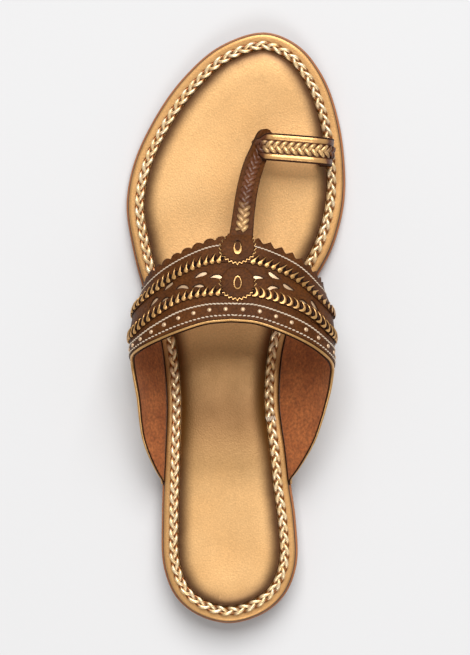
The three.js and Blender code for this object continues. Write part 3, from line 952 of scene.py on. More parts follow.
def loft_faces(loops: int, per_loop: int, closed: bool, joined_up: bool = False) -> list[list[int]]:
    """Faces between loops of points that all have one length.

    Args:
        loops: how many loops there are.
        per_loop: how many points each has.
        closed: whether each loop joins up.
        joined_up: whether the last loop joins to the first.

    Returns:
        The corners of each face.
    """
    faces = []
    for a in range(loops if joined_up else loops - 1):
        here, there = a * per_loop, (a + 1) % loops * per_loop
        for i in range(per_loop if closed else per_loop - 1):
            j = (i + 1) % per_loop
            faces.append([here + i, here + j, there + j, there + i])
    return faces


def cap_faces(start: int, count: int) -> list[list[int]]:
    """Faces that close an outline like a ladder, from its first point to the one opposite.

    Args:
        start: the place of its first point.
        count: how many points it has.

    Returns:
        The corners of each face.
    """
    rungs = [[start + (count - r) % count, start + r] for r in range(count // 2 + 1)]
    faces = []
    for (left, right), (next_left, next_right) in zip(rungs, rungs[1:]):
        corners = [left, right, next_right, next_left]
        faces.append(list(dict.fromkeys(corners)))
    return faces


def inside_outline(points: Array, outline: Array) -> Array:
    """Which points lie inside a closed outline.

    Args:
        points: the points, one row each.
        outline: the outline's corners.

    Returns:
        True for each point that lies inside.
    """
    x, y = points[:, 0][:, None], points[:, 1][:, None]
    a, b = outline, np.roll(outline, -1, axis=0)
    crosses = (a[:, 1] > y) != (b[:, 1] > y)
    rise = np.where(np.abs(b[:, 1] - a[:, 1]) < 1e-12, 1e-12, b[:, 1] - a[:, 1])
    at = a[:, 0] + (y - a[:, 1]) * (b[:, 0] - a[:, 0]) / rise
    return (crosses & (x < at)).sum(axis=1) % 2 == 1


def distance_to(points: Array, outlines: Sequence[Array]) -> Array:
    """How far each point is from the nearest of some closed outlines.

    Args:
        points: the points, one row each.
        outlines: the outlines, each as its corners.

    Returns:
        The distance of each point.
    """
    nearest = np.full(len(points), np.inf)
    for outline in outlines:
        a, b = outline, np.roll(outline, -1, axis=0)
        step = b - a
        for k in range(0, len(points), 2000):
            some = points[k : k + 2000, None, :] - a
            share = (some * step).sum(2) / np.maximum((step * step).sum(1), 1e-12)
            gap = np.linalg.norm(some - step * np.clip(share, 0, 1)[..., None], axis=2)
            nearest[k : k + 2000] = np.minimum(nearest[k : k + 2000], gap.min(1))
    return nearest


@dataclass
class LeatherCut:
    """A piece of leather as it is cut flat: an outline with holes, in millimetres."""

    outline: Array
    holes: list[Array] = field(default_factory=list)
    spacing: float = 1.5
    shoulder: float = 0.35
    drop: float = 0.18

    def laid_out(self) -> tuple[Array, list[list[int]], list[Array]]:
        """The flat pattern in triangles.

        Returns:
            Its points, its faces, and the places of each loop of cut edge among the points.
        """
        loops, edges, points = [self.outline, *self.holes], [], []
        for loop in loops:
            start = sum(map(len, points))
            edges += [(start + i, start + (i + 1) % len(loop)) for i in range(len(loop))]
            points.append(loop)
        points.append(self.filling(loops))
        given = np.vstack(points)
        made, _, faces, originals, _, _ = delaunay_2d_cdt(
            [Vector(p) for p in given], edges, [list(range(len(self.outline)))], 1, 1e-5
        )
        flat = np.array([tuple(p) for p in made])
        faces = np.array([list(f) for f in faces])
        middles = flat[faces].mean(axis=1)
        keep = np.ones(len(faces), bool)
        for hole in self.holes:
            keep &= ~inside_outline(middles, hole)
        new_place = {old: new for new, olds in enumerate(originals) for old in olds}
        cuts, start = [], 0
        for loop in loops:
            cuts.append(np.array([new_place[start + i] for i in range(len(loop))]))
            start += len(loop)
        return flat, faces[keep].tolist(), cuts

    def filling(self, loops: list[Array]) -> Array:
        """Points inside the pattern: a shoulder beside each cut edge, and a staggered grid.

        Args:
            loops: the outline and the holes.

        Returns:
            The points, one row each.
        """
        beside = []
        for k, loop in enumerate(loops):
            along = unit(np.roll(loop, -1, axis=0) - np.roll(loop, 1, axis=0))
            turned = np.stack([-along[:, 1], along[:, 0]], axis=1)
            area = np.sum(loop[:, 0] * np.roll(loop[:, 1], -1) - np.roll(loop[:, 0], -1) * loop[:, 1])
            beside.append(loop + turned * self.shoulder * (1 if (area > 0) == (k == 0) else -1))
        low, high = self.outline.min(axis=0), self.outline.max(axis=0)
        rows = np.arange(low[1], high[1], self.spacing * 0.866)
        columns = np.arange(low[0], high[0], self.spacing)
        grid = np.array([(x + self.spacing / 2 * (r % 2), y) for r, y in enumerate(rows) for x in columns])
        kept = []
        for some, reach in ((np.vstack(beside), self.shoulder * 0.8), (grid, self.spacing * 0.5)):
            clear = inside_outline(some, self.outline)
            for hole in self.holes:
                clear &= ~inside_outline(some, hole)
            some = some[clear]
            kept.append(some[distance_to(some, loops) > reach])
        return np.vstack(kept)

    def solid(
        self, name: str, wrap: Callable[[Array, Array], Array], low: Callable[[Array], Array],
        thickness: float, finish: Finish
    ) -> Piece:
        """The leather with its thickness, wrapped in place, its cut edges rounded over.

        Args:
            name: the object's name.
            wrap: turns flat places and lifts into points.
            low: the lift of the flesh side at flat places.
            thickness: the leather's thickness.
            finish: what it is covered in.

        Returns:
            The object, with the distance from a cut edge in its seam attribute.
        """
        flat, faces, cuts = self.laid_out()
        away = distance_to(flat, [self.outline, *self.holes])
        under = low(flat)
        round_off = self.drop * (1 - np.clip(away / self.shoulder, 0, 1)) ** 2
        top = wrap(flat, under + thickness - round_off)
        bottom = wrap(flat, under)
        count = len(flat)
        solid = [list(f) for f in faces] + [[v + count for v in reversed(f)] for f in faces]
        for cut in cuts:
            for a, b in zip(cut, np.roll(cut, -1)):
                solid.append([a, b, b + count, a + count])
        attributes = {"seam": np.concatenate([away, away * 0 - 0.2])}
        return finished(name, np.vstack([top, bottom]), solid, finish, attributes)


# ---------------------------------------------------------------- geometry nodes


@dataclass(frozen=True)
class Guide:
    """A line for something to follow, in millimetres, with the way up at each of its points."""

    points: Array
    up: Array
    closed: bool = False
    gilt: Array | None = None

    @classmethod
    def on(cls, band: BandForm, line: Array, lift: float) -> "Guide":
        """A guide on the band.

        Args:
            band: the band.
            line: the places that it follows on the flat pattern.
            lift: how high over the band's inside it lies.

        Returns:
            The guide.
        """
        around = band.around_at(line[:, 0], line[:, 1])
        return cls(band.lifted(around, line[:, 1], lift), band.outward(around, line[:, 1]))

    def laid(self) -> Piece:
        """The line as an object of edges, for a modifier to stand on."""
        count = len(self.points)
        edges = [(i, (i + 1) % count) for i in range(count if self.closed else count - 1)]
        mesh = bpy.data.meshes.new("guide")
        mesh.from_pydata((self.points * MM).tolist(), edges, [])
        up = mesh.attributes.new("up", "FLOAT_VECTOR", "POINT")
        up.data.foreach_set("vector", self.up.astype(np.float32).ravel())
        if self.gilt is not None:
            gilt = mesh.attributes.new("gilt", "FLOAT", "POINT")
            gilt.data.foreach_set("value", self.gilt.astype(np.float32))
        return linked("guide", mesh)


class PathTree:
    """A tree of nodes that makes something along a guide; its sizes are in millimetres."""

    NAME = ""
    SIZES: tuple[str, ...] = ()
    COUNTS: tuple[str, ...] = ()
    OBJECTS: tuple[str, ...] = ()
    SEED = 7

    def __init__(self) -> None:
        """Builds the tree, with an input for each size, count and object that it names."""
        self.tree = bpy.data.node_groups.new(self.NAME, "GeometryNodeTree")
        kinds = {"Guide": "Geometry", **dict.fromkeys(self.SIZES, "Float")}
        kinds |= {**dict.fromkeys(self.COUNTS, "Int"), **dict.fromkeys(self.OBJECTS, "Object")}
        kinds["Finish"] = "Material"
        self.sockets = {
            key: self.tree.interface.new_socket(key, in_out="INPUT", socket_type=f"NodeSocket{kind}")
            for key, kind in kinds.items()
        }
        self.tree.interface.new_socket("Result", in_out="OUTPUT", socket_type="NodeSocketGeometry")
        self.given = self.add("NodeGroupInput", result=None).outputs
        plain = self.add("GeometryNodeRealizeInstances", {"Geometry": self.made()})
        dressed = {"Geometry": plain, "Material": self.given["Finish"]}
        self.add("NodeGroupOutput", {"Result": self.add("GeometryNodeSetMaterial", dressed)}, None)

    def add(self, kind: str, inputs: Any = (), result: Any = 0, **settings: Any) -> Any:
        """Adds a node to this tree, as the function of the same name does."""
        return add(self.tree, kind, inputs, result, **settings)

    def up(self) -> Any:
        """The guide's way up."""
        return self.add(
            "GeometryNodeInputNamedAttribute", {"Name": "up"}, "Attribute", data_type="FLOAT_VECTOR"
        )

    def curve(self, mode: str, value: Any) -> Any:
        """The guide as a curve of evenly spaced points, by their COUNT or the LENGTH between them."""
        line = self.add("GeometryNodeMeshToCurve", {"Mesh": self.given["Guide"]})
        return self.add("GeometryNodeResampleCurve", {"Curve": line, mode.title(): value}, mode=mode)

    def swept(self, curve: Any, width: Any, height: Any, corners: int) -> Any:
        """A closed rod along a curve, oval across.

        Args:
            curve: what it follows.
            width: its size across the way up, in metres.
            height: its size along the way up, in metres.
            corners: how many sides it has.

        Returns:
            The rod's mesh.
        """
        turned = {"Curve": curve, "Normal": self.up()}
        upright = self.add("GeometryNodeSetCurveNormal", turned, mode="FREE")
        circle = self.add("GeometryNodeCurvePrimitiveCircle", {"Resolution": corners, "Radius": 0.5})
        scale = self.add("ShaderNodeCombineXYZ", (height, width, 1.0))
        profile = self.add("GeometryNodeTransform", {"Geometry": circle, "Scale": scale})
        swept = {"Curve": upright, "Profile Curve": profile, "Fill Caps": True}
        return self.add("GeometryNodeCurveToMesh", swept)

    def made(self) -> Any:
        """What the tree makes before it is realized and gets its finish."""
        raise NotImplementedError

    def grow(self, name: str, guide: Guide, finish: Finish, **values: Any) -> Piece:
        """Runs the tree along a guide.

        Args:
            name: the name of the object that it becomes.
            guide: what it follows.
            finish: what it is covered in.
            values: its inputs, by name; spaces are written as underscores, sizes in millimetres.

        Returns:
            The object, a plain mesh with no modifier.
        """
        stand = guide.laid()
        modifier = stand.modifiers.new(name, "NODES")
        modifier.node_group = self.tree
        for key, value in {**values, "Finish": finish.material()}.items():
            socket = self.sockets[key.replace("_", " ")]
            modifier[socket.identifier] = value * MM if isinstance(value, float) else value
        bpy.context.view_layer.update()
        ready = stand.evaluated_get(bpy.context.evaluated_depsgraph_get())
        mesh = bpy.data.meshes.new_from_object(ready)
        bpy.data.objects.remove(stand)
        tidy(mesh, 60.0)
        mesh.name = name
        return linked(name, mesh)


class RowTree(PathTree):
    """A motif repeated along a guide at a pitch: its x along the guide, its z up."""

    NAME, SIZES, OBJECTS = "row_of_motifs", ("Pitch", "Unevenness"), ("Motif",)

    def made(self) -> Any:
        """The motifs, each a little different in size."""
        axes = {"Primary Axis": self.up(), "Secondary Axis": self.add("GeometryNodeInputTangent")}
        turn = self.add("FunctionNodeAxesToRotation", axes, primary_axis="Z", secondary_axis="X")
        spread = self.add("ShaderNodeMath", (self.given["Unevenness"], MM), operation="DIVIDE")
        scatter = self.add("FunctionNodeRandomValue", {"Seed": self.SEED}, None, data_type="FLOAT")
        limits = [s for s in scatter.inputs if s.type == "VALUE" and s.enabled]
        for limit, operation in zip(limits, ("SUBTRACT", "ADD")):
            self.tree.links.new(self.add("ShaderNodeMath", (1.0, spread), operation=operation), limit)
        motif = self.add("GeometryNodeObjectInfo", {"Object": self.given["Motif"]}, "Geometry")
        inputs = {
            "Points": self.curve("LENGTH", self.given["Pitch"]), "Instance": motif, "Rotation": turn,
            "Scale": next(s for s in scatter.outputs if s.type == "VALUE")
        }
        return self.add("GeometryNodeInstanceOnPoints", inputs)


class CordTree(PathTree):
    """A plain rod along a guide, for piping and welts."""

    NAME, SIZES = "cord", ("Width", "Height", "Step")

    def made(self) -> Any:
        """The rod."""
        line = self.curve("LENGTH", self.given["Step"])
        return self.swept(line, self.given["Width"], self.given["Height"], 12)


class PlaitTree(PathTree):
    """A flat plait of three strands that cross over and under in turn."""

    NAME, COUNTS = "three_strand_plait", ("Rounds", "Steps")
    SIZES = ("Sway", "Lift", "Strand Width", "Strand Height")
    STRANDS = 3

    def made(self) -> Any:
        """The strands: each sways once a round, and rises and sinks twice."""
        given, product = self.given, {"kind": "ShaderNodeMath", "operation": "MULTIPLY"}
        line = self.curve("COUNT", self.add(inputs=(given["Rounds"], given["Steps"]), **product))
        axes = (self.add("GeometryNodeInputTangent"), self.up())
        across = self.add("ShaderNodeVectorMath", axes, operation="CROSS_PRODUCT")
        place = self.add("GeometryNodeSplineParameter", result="Factor")
        rounds = self.add(inputs=(place, given["Rounds"]), **product)
        turns = self.add(inputs=(rounds, math.tau), **product)
        strands = self.add("GeometryNodeJoinGeometry", result=None)
        for k in range(self.STRANDS):
            phase = self.add("ShaderNodeMath", (turns, math.tau * k / self.STRANDS))
            doubled = self.add(inputs=(phase, 2.0), **product)
            sway, swing = (self.add("ShaderNodeMath", (a,), operation="SINE") for a in (phase, doubled))
            side = self.add(inputs=(sway, given["Sway"]), **product)
            rise = self.add(inputs=(swing, given["Lift"]), **product)
            moves = [
                self.add("ShaderNodeVectorMath", {"Vector": way, "Scale": much}, operation="SCALE")
                for way, much in ((across, side), (self.up(), rise))
            ]
            noted = {"Geometry": line, "Name": "rise", "Value": swing}
            inputs = {"Geometry": self.add("GeometryNodeStoreNamedAttribute", noted, data_type="FLOAT")}
            inputs["Offset"] = self.add("ShaderNodeVectorMath", moves)
            moved = self.add("GeometryNodeSetPosition", inputs)
            rod = self.swept(moved, given["Strand Width"], given["Strand Height"], 8)
            self.tree.links.new(rod, strands.inputs["Geometry"])
        return strands.outputs["Geometry"]


@dataclass(frozen=True)
class Motif:
    """A small shape that is repeated, in millimetres; its x is along the row and its z up."""

    vertices: Array
    faces: list[list[int]]

    @classmethod
    def pebble(cls, length: float, width: float, height: float, slant: float = 0.0) -> "Motif":
        """A rounded bead, flattened below.

        Args:
            length: its size along the row.
            width: its size across.
            height: how far it stands above the row's line.
            slant: how far it is turned, in degrees.

        Returns:
            The bead.
        """
        turn, around, rings, below = math.radians(slant), 8, 4, -0.35 * height
        points = [(0.0, 0.0, below)]
        for r in range(1, rings + 1):
            level = math.pi * r / (rings + 1)
            for a in range(around):
                angle, spread = math.tau * a / around, math.sin(level) ** 0.6
                x, y = math.cos(angle) * spread * length / 2, math.sin(angle) * spread * width / 2
                flat = (x * math.cos(turn) - y * math.sin(turn), x * math.sin(turn) + y * math.cos(turn))
                points.append((*flat, max(-math.cos(level) * height, below)))
        points.append((0.0, 0.0, height))
        faces = [[v + 1 for v in face] for face in loft_faces(rings, around, closed=True)]
        last = len(points) - 1
        for a in range(around):
            b = (a + 1) % around
            faces += [[0, 1 + b, 1 + a], [last, last - around + a, last - around + b]]
        return cls(np.array(points), faces)

    @classmethod
    def hook(cls, path: Array, width: Array, height: float) -> "Motif":
        """A thong bent along a flat path.

        Args:
            path: its middle line, as x, y and how high it lies.
            width: its width at each point of the path.
            height: how thick it is.

        Returns:
            The bent thong, closed at both ends.
        """
        points, sides = [], 5
        for p, a, w in zip(path, left_of(path), width):
            for k in range(sides):
                angle = math.tau * k / sides + math.pi / 2
                flat = p[:2] + a * math.cos(angle) * w / 2
                points.append((flat[0], flat[1], p[2] + (math.sin(angle) * 0.5 + 0.5) * height))
        faces = loft_faces(len(path), sides, closed=True)
        last = (len(path) - 1) * sides
        faces += [list(range(sides))[::-1], [last + k for k in range(sides)]]
        return cls(np.array(points), faces)

    def mirrored(self) -> "Motif":
        """The same motif for the other side: its y turned over."""
        return Motif(self.vertices * [1, -1, 1], [face[::-1] for face in self.faces])

    def moved(self, along: float, across: float) -> "Motif":
        """The same motif, moved along and across the row."""
        return Motif(self.vertices + [along, across, 0.0], self.faces)


@dataclass
class Bench:
    """The node trees, each built once, and what runs them."""

    rows: RowTree = field(default_factory=RowTree)
    cords: CordTree = field(default_factory=CordTree)
    plaits: PlaitTree = field(default_factory=PlaitTree)
    uneven: float = 0.04

    def row(self, name: str, guide: Guide, motif: Motif, pitch: float, finish: Finish) -> Piece:
        """A motif along a guide.

        Args:
            name: the object's name.
            guide: what the motifs stand on.
            motif: what is repeated.
            pitch: the distance from one to the next, in millimetres.
            finish: what they are covered in.

        Returns:
            The row as one mesh.
        """
        template = finished("motif", motif.vertices, motif.faces, crease=180.0)
        sizes = {"Motif": template, "Pitch": float(pitch), "Unevenness": self.uneven}
        made = self.rows.grow(name, guide, finish, **sizes)
        bpy.data.objects.remove(template)
        return made


# ---------------------------------------------------------------- the sole's pieces


def placed(piece: Piece, slot: Slot, *nodes: str) -> Piece:
    """Hands a finished piece to the frame: its body and the CAD nodes it stands for.

    Args:
        piece: the finished piece.
        slot: not used.
        nodes: the CAD nodes that it replaces.

    Returns:
        The same piece.
    """
    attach(piece, "root")
    if nodes:
        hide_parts(*nodes)
    LOG.info("%s: %d faces", piece.name, len(piece.data.polygons))
    return piece


def stacked_rings(rings: Sequence[Array]) -> tuple[Array, list[list[int]]]:
    """A solid through outlines of one length, closed at both ends like a ladder.

    Args:
        rings: the outlines, each a closed loop of points.

    Returns:
        Its points and faces.
    """
    count = len(rings[0])
    faces = loft_faces(len(rings), count, closed=True)
    faces += cap_faces(0, count) + cap_faces((len(rings) - 1) * count, count)
    return np.vstack(rings), faces


@dataclass
class Outsole:
    """The buffalo-leather outsole: its edge burnished and rounded over at both corners."""

    sole: SoleForm
    # How far inside the outline and how high above the underside each line of the edge lies,
    # with its distance from the nearer corner.
    edge: tuple[tuple[float, float, float], ...] = (
        (9.0, 0.0, 3.0), (0.75, 0.0, 0.1), (0.35, 0.12, 0.0), (0.08, 0.5, 0.4), (0.0, 1.2, 1.0),
        (0.0, 2.4, 2.0), (0.0, 3.6, 1.6), (0.08, 4.2, 1.2), (0.3, 4.55, 1.0), (0.75, 4.65, 0.7),
        (1.0, 4.65, 0.0), (9.0, 4.65, 0.0)
    )

    def build(self) -> None:
        """The outsole as one piece."""
        rings = [self.sole.ring(inset, level) for inset, level, _ in self.edge]
        vertices, faces = stacked_rings(rings)
        seam = np.repeat([corner for _, _, corner in self.edge], len(rings[0]))
        piece = finished("outsole_leather", vertices, faces, Finishes.SOLE_EDGE, {"seam": seam})
        placed(piece, Slot.OUTSOLE, "outsole")


@dataclass
class Heel:
    """The low heel: leather lifts, each edge sanded round between its glue joints."""

    sole: SoleForm
    taper: float = 1.2
    lifts: int = 4
    groove: float = 0.14
    flat_inset: float = 6.0
    side_points: int = 90

    def outline(self, inset: float, z: float) -> Array:
        """The heel's outline at one height: the sole's outline behind the breast.

        Args:
            inset: how far inside the sole's outline.
            z: the height above the floor.

        Returns:
            The points from the breast's medial corner round the back to its lateral corner.
        """
        line, breast = self.sole.ring(inset, 0)[:, :2], self.sole.heel_breast_y
        half = len(line) // 2
        sides = []
        for side in (line[: half + 1], np.vstack([line[half:], line[:1]])[::-1]):
            corner = [np.interp(breast, side[:, 1], side[:, 0]), breast]
            behind = side[side[:, 1] < breast - 0.4]
            sides.append(evenly(np.vstack([behind, [corner]]), self.side_points))
        around = np.vstack([sides[0][::-1], sides[1][1:]])
        return np.column_stack([around, np.full(len(around), z)])

    def build(self) -> None:
        """The heel as one piece."""
        top = self.sole.heel_height - self.sole.gap / 2
        loops = [self.outline(self.taper + more, 0.0) for more in (self.flat_inset, 0.4)]
        for lift in range(self.lifts):
            for share, dip in ((0.04, self.groove), (0.2, 0.0), (0.8, 0.0), (0.96, self.groove)):
                z = (lift + share) / self.lifts * top
                loops.append(self.outline(self.taper + (0.2 - self.taper) * z / top + dip, z))
        loops.append(self.outline(self.flat_inset, top))
        count = len(loops[0])
        faces = loft_faces(len(loops), count, closed=True)
        for start in (0, (len(loops) - 1) * count):
            rungs = [[start + count - 1 - r, start + r] for r in range(count // 2)]
            faces += [[*rung, *following[::-1]] for rung, following in zip(rungs, rungs[1:])]
            faces.append([*rungs[-1], rungs[-1][1] + 1])
        piece = finished("stacked_heel", np.vstack(loops), faces, Finishes.HEEL, crease=50)
        placed(piece, Slot.HEEL, "heel")


def waist_toning(y: Array, most: float) -> Array:
    """How much painted shadow of the band gold leather gets at each y: most in the waist, behind the band.
    """
    return most * smooth_step(-y, -8.0, 37.0) * (1 - smooth_step(-y, 37.0, 76.0))


@dataclass
class InsoleBoard:
    """The board covered in gold leather: its rim rolls over to a dark painted edge."""

    sole: SoleForm
    # How far inside the board's edge and how high above the underside each line lies.
    edge: tuple[tuple[float, float], ...] = (
        (6.0, 4.72), (0.25, 4.72), (0.0, 5.0), (0.0, 6.7), (0.08, 7.15), (0.3, 7.5), (0.62, 7.72),
        (1.1, 7.86), (1.8, 7.92), (4.2, 7.9), (9.0, 7.8)
    )
    painted_below: float = 7.0
    # How dark the band's painted shadow gets on the rim.
    toned_by: float = 0.7

    def build(self) -> None:
        """The board as one piece."""
        rings = [self.sole.ring(inset, level, self.sole.board_inset) for inset, level in self.edge]
        vertices, faces = stacked_rings(rings)
        away = [0.0 if level < self.painted_below else inset for inset, level in self.edge]
        marks = {"seam": np.repeat(away, len(rings[0]))}
        # The rim gets the band's painted shadow over the waist.
        marks["tone"] = waist_toning(vertices[:, 1], self.toned_by)
        piece = finished("insole_board_cover", vertices, faces, Finishes.RIM, marks)
        placed(piece, Slot.GOLD, "insole_board")


@dataclass
class Footbed:
    """The padded footbed: foam under gold leather, rolled down to the trim all round."""

    sole: SoleForm
    fill: float = 0.6
    columns: int = 22
    # How dark the band's painted shadow gets on the pad.
    toned_by: float = 0.92
    # How far inside the pad's edge each line of its roll lies, and its share of the height.
    roll: tuple[tuple[float, float], ...] = (
        (0.6, 0.0), (0.15, 0.08), (0.0, 0.2), (0.1, 0.34), (0.45, 0.48), (1.0, 0.61), (1.9, 0.735),
        (3.0, 0.83), (4.4, 0.905), (6.2, 0.96), (8.5, 1.0), (11.0, 1.02)
    )
    # Where the foam gives or fills out: x, y, how far it reaches along x and y, and how much.
    swells: tuple[tuple[float, float, float, float, float], ...] = (
        (-3.0, -92.0, 13.0, 17.0, -0.9), (14.0, -28.0, 9.0, 26.0, 0.8), (2.0, 40.0, 24.0, 18.0, -0.5),
        (25.0, 92.0, 9.0, 11.0, -0.5), (-14.0, 62.0, 10.0, 14.0, 0.35), (-2.0, 14.0, 18.0, 10.0, 0.35)
    )

    def give(self, points: Array) -> Array:
        """How far the pad's top swells or sinks.

        Args:
            points: the top's points.

        Returns:
            The height to add at each.
        """
        total = np.zeros(len(points))
        for x, y, wide, long, height in self.swells:
            total += height * np.exp(-(((points[:, 0] - x) / wide) ** 2) - ((points[:, 1] - y) / long) ** 2)
        return total

    def build(self) -> None:
        """The pad as one piece."""
        sole = self.sole
        start = sole.trim_width + 0.1
        rings = [
            sole.ring(start + inset, sole.pad_level + sole.pad_height * rise, sole.trim_inset)
            for inset, rise in self.roll
        ]
        count, inner = len(rings[0]), rings[-1]
        rungs = np.arange(count // 2 + 1)
        left, right = inner[(count - rungs) % count], inner[rungs]
        shares = np.linspace(0, 1, self.columns + 1)[None, :, None]
        middle = (left[:, None] * (1 - shares) + right[:, None] * shares).reshape(-1, 3)
        middle[:, 2] = sole.underside(middle[:, 1]) + inner[0, 2] - sole.underside(inner[0, 1])
        vertices = np.vstack([*rings, middle])
        faces = loft_faces(len(rings), count, closed=True) + cap_faces(0, count)
        for face in loft_faces(len(rungs), self.columns + 1, closed=False):
            faces.append([v + len(rings) * count for v in face])
        # The colour darkens towards this seam: partly an antiqued edge, partly painted shade in the roll.
        seam = distance_to(vertices[:, :2], [rings[2][:, :2]])
        vertices[:, 2] += self.give(vertices) * smooth_step(seam, 0.5, 9)
        # The waist behind the band gets a painted shadow.
        marks = {"seam": seam, "tone": waist_toning(vertices[:, 1], self.toned_by)}
        piece = finished("footbed_pad", vertices, faces, Finishes.PAD, marks, crease=70)
        placed(piece, Slot.GOLD, "footbed")


@dataclass
class PlaitedTrim:
    """The flat plait of three foiled thongs that lies between the rim and the footbed."""

    sole: SoleForm
    bench: Bench
    thong_width: float = 1.4
    thong_height: float = 0.9
    lift: float = 1.05
    v_pitch: float = 5.0
    joint_y: float = -38.0
    joint_lift: float = 2.05
    # The section of the strip below: how far in from the trim's outer edge, and how high.
    strip: tuple[tuple[float, float], ...] = (
        (0.35, -0.2), (0.35, 0.3), (0.9, 0.55), (3.0, 0.55), (3.55, 0.3), (3.55, -0.2)
    )

    def line(self, across: float, lift: float) -> Array:
        """A line round the trim, at a distance from its outer edge and a height over its bed."""
        return self.sole.ring(across, self.sole.pad_level + lift, self.sole.trim_inset)

    def build(self) -> None:
        """The plait, the thread over its joint and the dark amber strip under it, painted shade in the
        plait's gaps.
        """
        width = self.sole.trim_width
        middle = self.line(width / 2, self.lift)[::-1]
        length = lengths_along(np.vstack([middle, middle[:1]]))[-1]
        up = np.tile([0.0, 0.0, 1.0], (len(middle), 1))
        plait = self.bench.plaits.grow(
            "foil_plait", Guide(middle, up, closed=True), Finishes.FOIL,
            Sway=(width - self.thong_width) / 2 + 0.05, Lift=0.42, Strand_Width=self.thong_width,
            Strand_Height=self.thong_height, Rounds=round(length / (3 * self.v_pitch)), Steps=12
        )
        self.joint()
        rings = [self.line(across, rise) for across, rise in self.strip]
        faces = loft_faces(len(rings), len(rings[0]), closed=True, joined_up=True)
        bed = finished("trim_bed", np.vstack(rings), faces, Finishes.AMBER)
        placed(joined("plaited_trim_thongs", [plait, bed]), Slot.FOIL, "plaited_trim")

    def joint(self) -> None:
        """The linen thread that whips the plait's two ends together, on the medial waist."""
        edges = [self.line(across, self.joint_lift) for across in (0.2, self.sole.trim_width - 0.2)]
        medial = edges[0][:, 0] > 0
        ends = [edge[medial][np.argmin(np.abs(edge[medial][:, 1] - self.joint_y))] for edge in edges]
        guide = Guide(evenly(np.array(ends), 12), np.tile([0.0, 0.0, 1.0], (12, 1)))
        wrap = Motif.pebble(0.6, 2.6, 0.5, slant=14)
        placed(self.bench.row("trim_joint_whipping", guide, wrap, 0.62, Finishes.THREAD), Slot.FOIL)


# ---------------------------------------------------------------- the upper's pieces


def grid_solid(
    name: str, low: Array, high: Array, finish: Finish, seam: Array | None = None, crease: float = 38.0
) -> Piece:
    """A sheet with a thickness, between two grids of points.

    Args:
        name: the object's name.
        low: the points of one face, as rows and columns.
        high: the points of the other face.
        finish: what it is covered in.
        seam: the distance from a cut edge at each point of a face.
        crease: edges that turn more than this many degrees stay sharp.

    Returns:
        The closed sheet.
    """
    rows, columns = low.shape[:2]
    count = rows * columns
    faces = loft_faces(rows, columns, closed=False)
    faces += [[v + count for v in face[::-1]] for face in faces]
    places = np.arange(count).reshape(rows, columns)
    sides = (places[0], places[1:, -1], places[-1, -2::-1], places[-2:0:-1, 0])
    border = np.concatenate(sides).tolist()
    faces += [[a, b, b + count, a + count] for a, b in zip(border, border[1:] + border[:1])]
    points = np.vstack([low.reshape(-1, 3), high.reshape(-1, 3)])
    attributes = {} if seam is None else {"seam": np.tile(seam.ravel(), 2)}
    return finished(name, points, faces, finish, attributes, crease)


@dataclass
class BandBase:
    """The instep band's lining, its base with the wings, and the piping over their rear edge."""

    band: BandForm
    bench: Bench
    lining: tuple[float, float] = (0.0, 0.95)
    base: tuple[float, float] = (1.0, 1.55)
    front_inset: float = 0.9
    around_steps: int = 120
    long_steps: int = 34
    piping_width: float = 1.35
    piping_lift: float = 1.15
    binding_width: float = 0.6
    binding_lift: float = 0.2
    binding_behind: float = -0.55

    def sheet(self, name: str, lifts: tuple[float, float], hem: float, finish: Finish) -> Piece:
        """One layer from foot to foot.

        Args:
            name: the layer's name.
            lifts: its two faces' heights over the band's inside.
            hem: how far it stands out behind the rear cut.
            finish: what it is covered in.

        Returns:
            The layer.
        """
        around = np.linspace(-1, 1, self.around_steps + 1)[:, None]
        front = self.band.row_y("front", around) - self.front_inset
        back = self.band.row_y("back", around) - hem
        shares = np.linspace(0, 1, self.long_steps + 1)[None, :]
        y = front + (back - front) * shares
        seam = np.minimum(shares, 1 - shares) * np.abs(front - back)
        low, high = (self.band.lifted(np.broadcast_to(around, y.shape), y, lift) for lift in lifts)
        return grid_solid(name, low, high, finish, seam)

    def build(self) -> None:
        """The lining, the base and the piping."""
        placed(self.sheet("suede_lining", self.lining, 0.1, Finishes.SUEDE), Slot.UPPER, "upper")
        placed(self.sheet("wing_leather", self.base, -0.3, Finishes.BRONZE), Slot.UPPER)
        line = self.band.row_line("back", 420)
        for name, behind, lift, width, finish in (
            ("rear_piping", 0.0, self.piping_lift, self.piping_width, Finishes.GILT),
            ("lining_binding", self.binding_behind, self.binding_lift, self.binding_width, Finishes.BROWN)
        ):
            guide = Guide.on(self.band, shifted(line, behind), lift)
            cord = self.bench.cords.grow(name, guide, finish, Width=width, Height=width, Step=1.2)
            placed(cord, Slot.UPPER)


@dataclass
class Slit:
    """A paisley slit punched through the strap: a round head and a tail that bends away."""

    u: float
    v: float
    turn: float
    bend: float = 0.6
    length: float = 5.7
    width: float = 2.15

    def outline(self) -> Array:
        """The slit's outline on the flat pattern."""
        t = np.linspace(0, math.tau, 22, endpoint=False)
        x = self.length / 2 * np.cos(t)
        y = self.width / 2 * np.sin(t) * (0.22 + 0.78 * np.sin(t / 2) ** 1.5)
        y += self.bend * (x / (self.length / 2)) ** 2
        cos, sin = math.cos(math.radians(self.turn)), math.sin(math.radians(self.turn))
        return np.stack([self.u + x * cos - y * sin, self.v + x * sin + y * cos], axis=1)


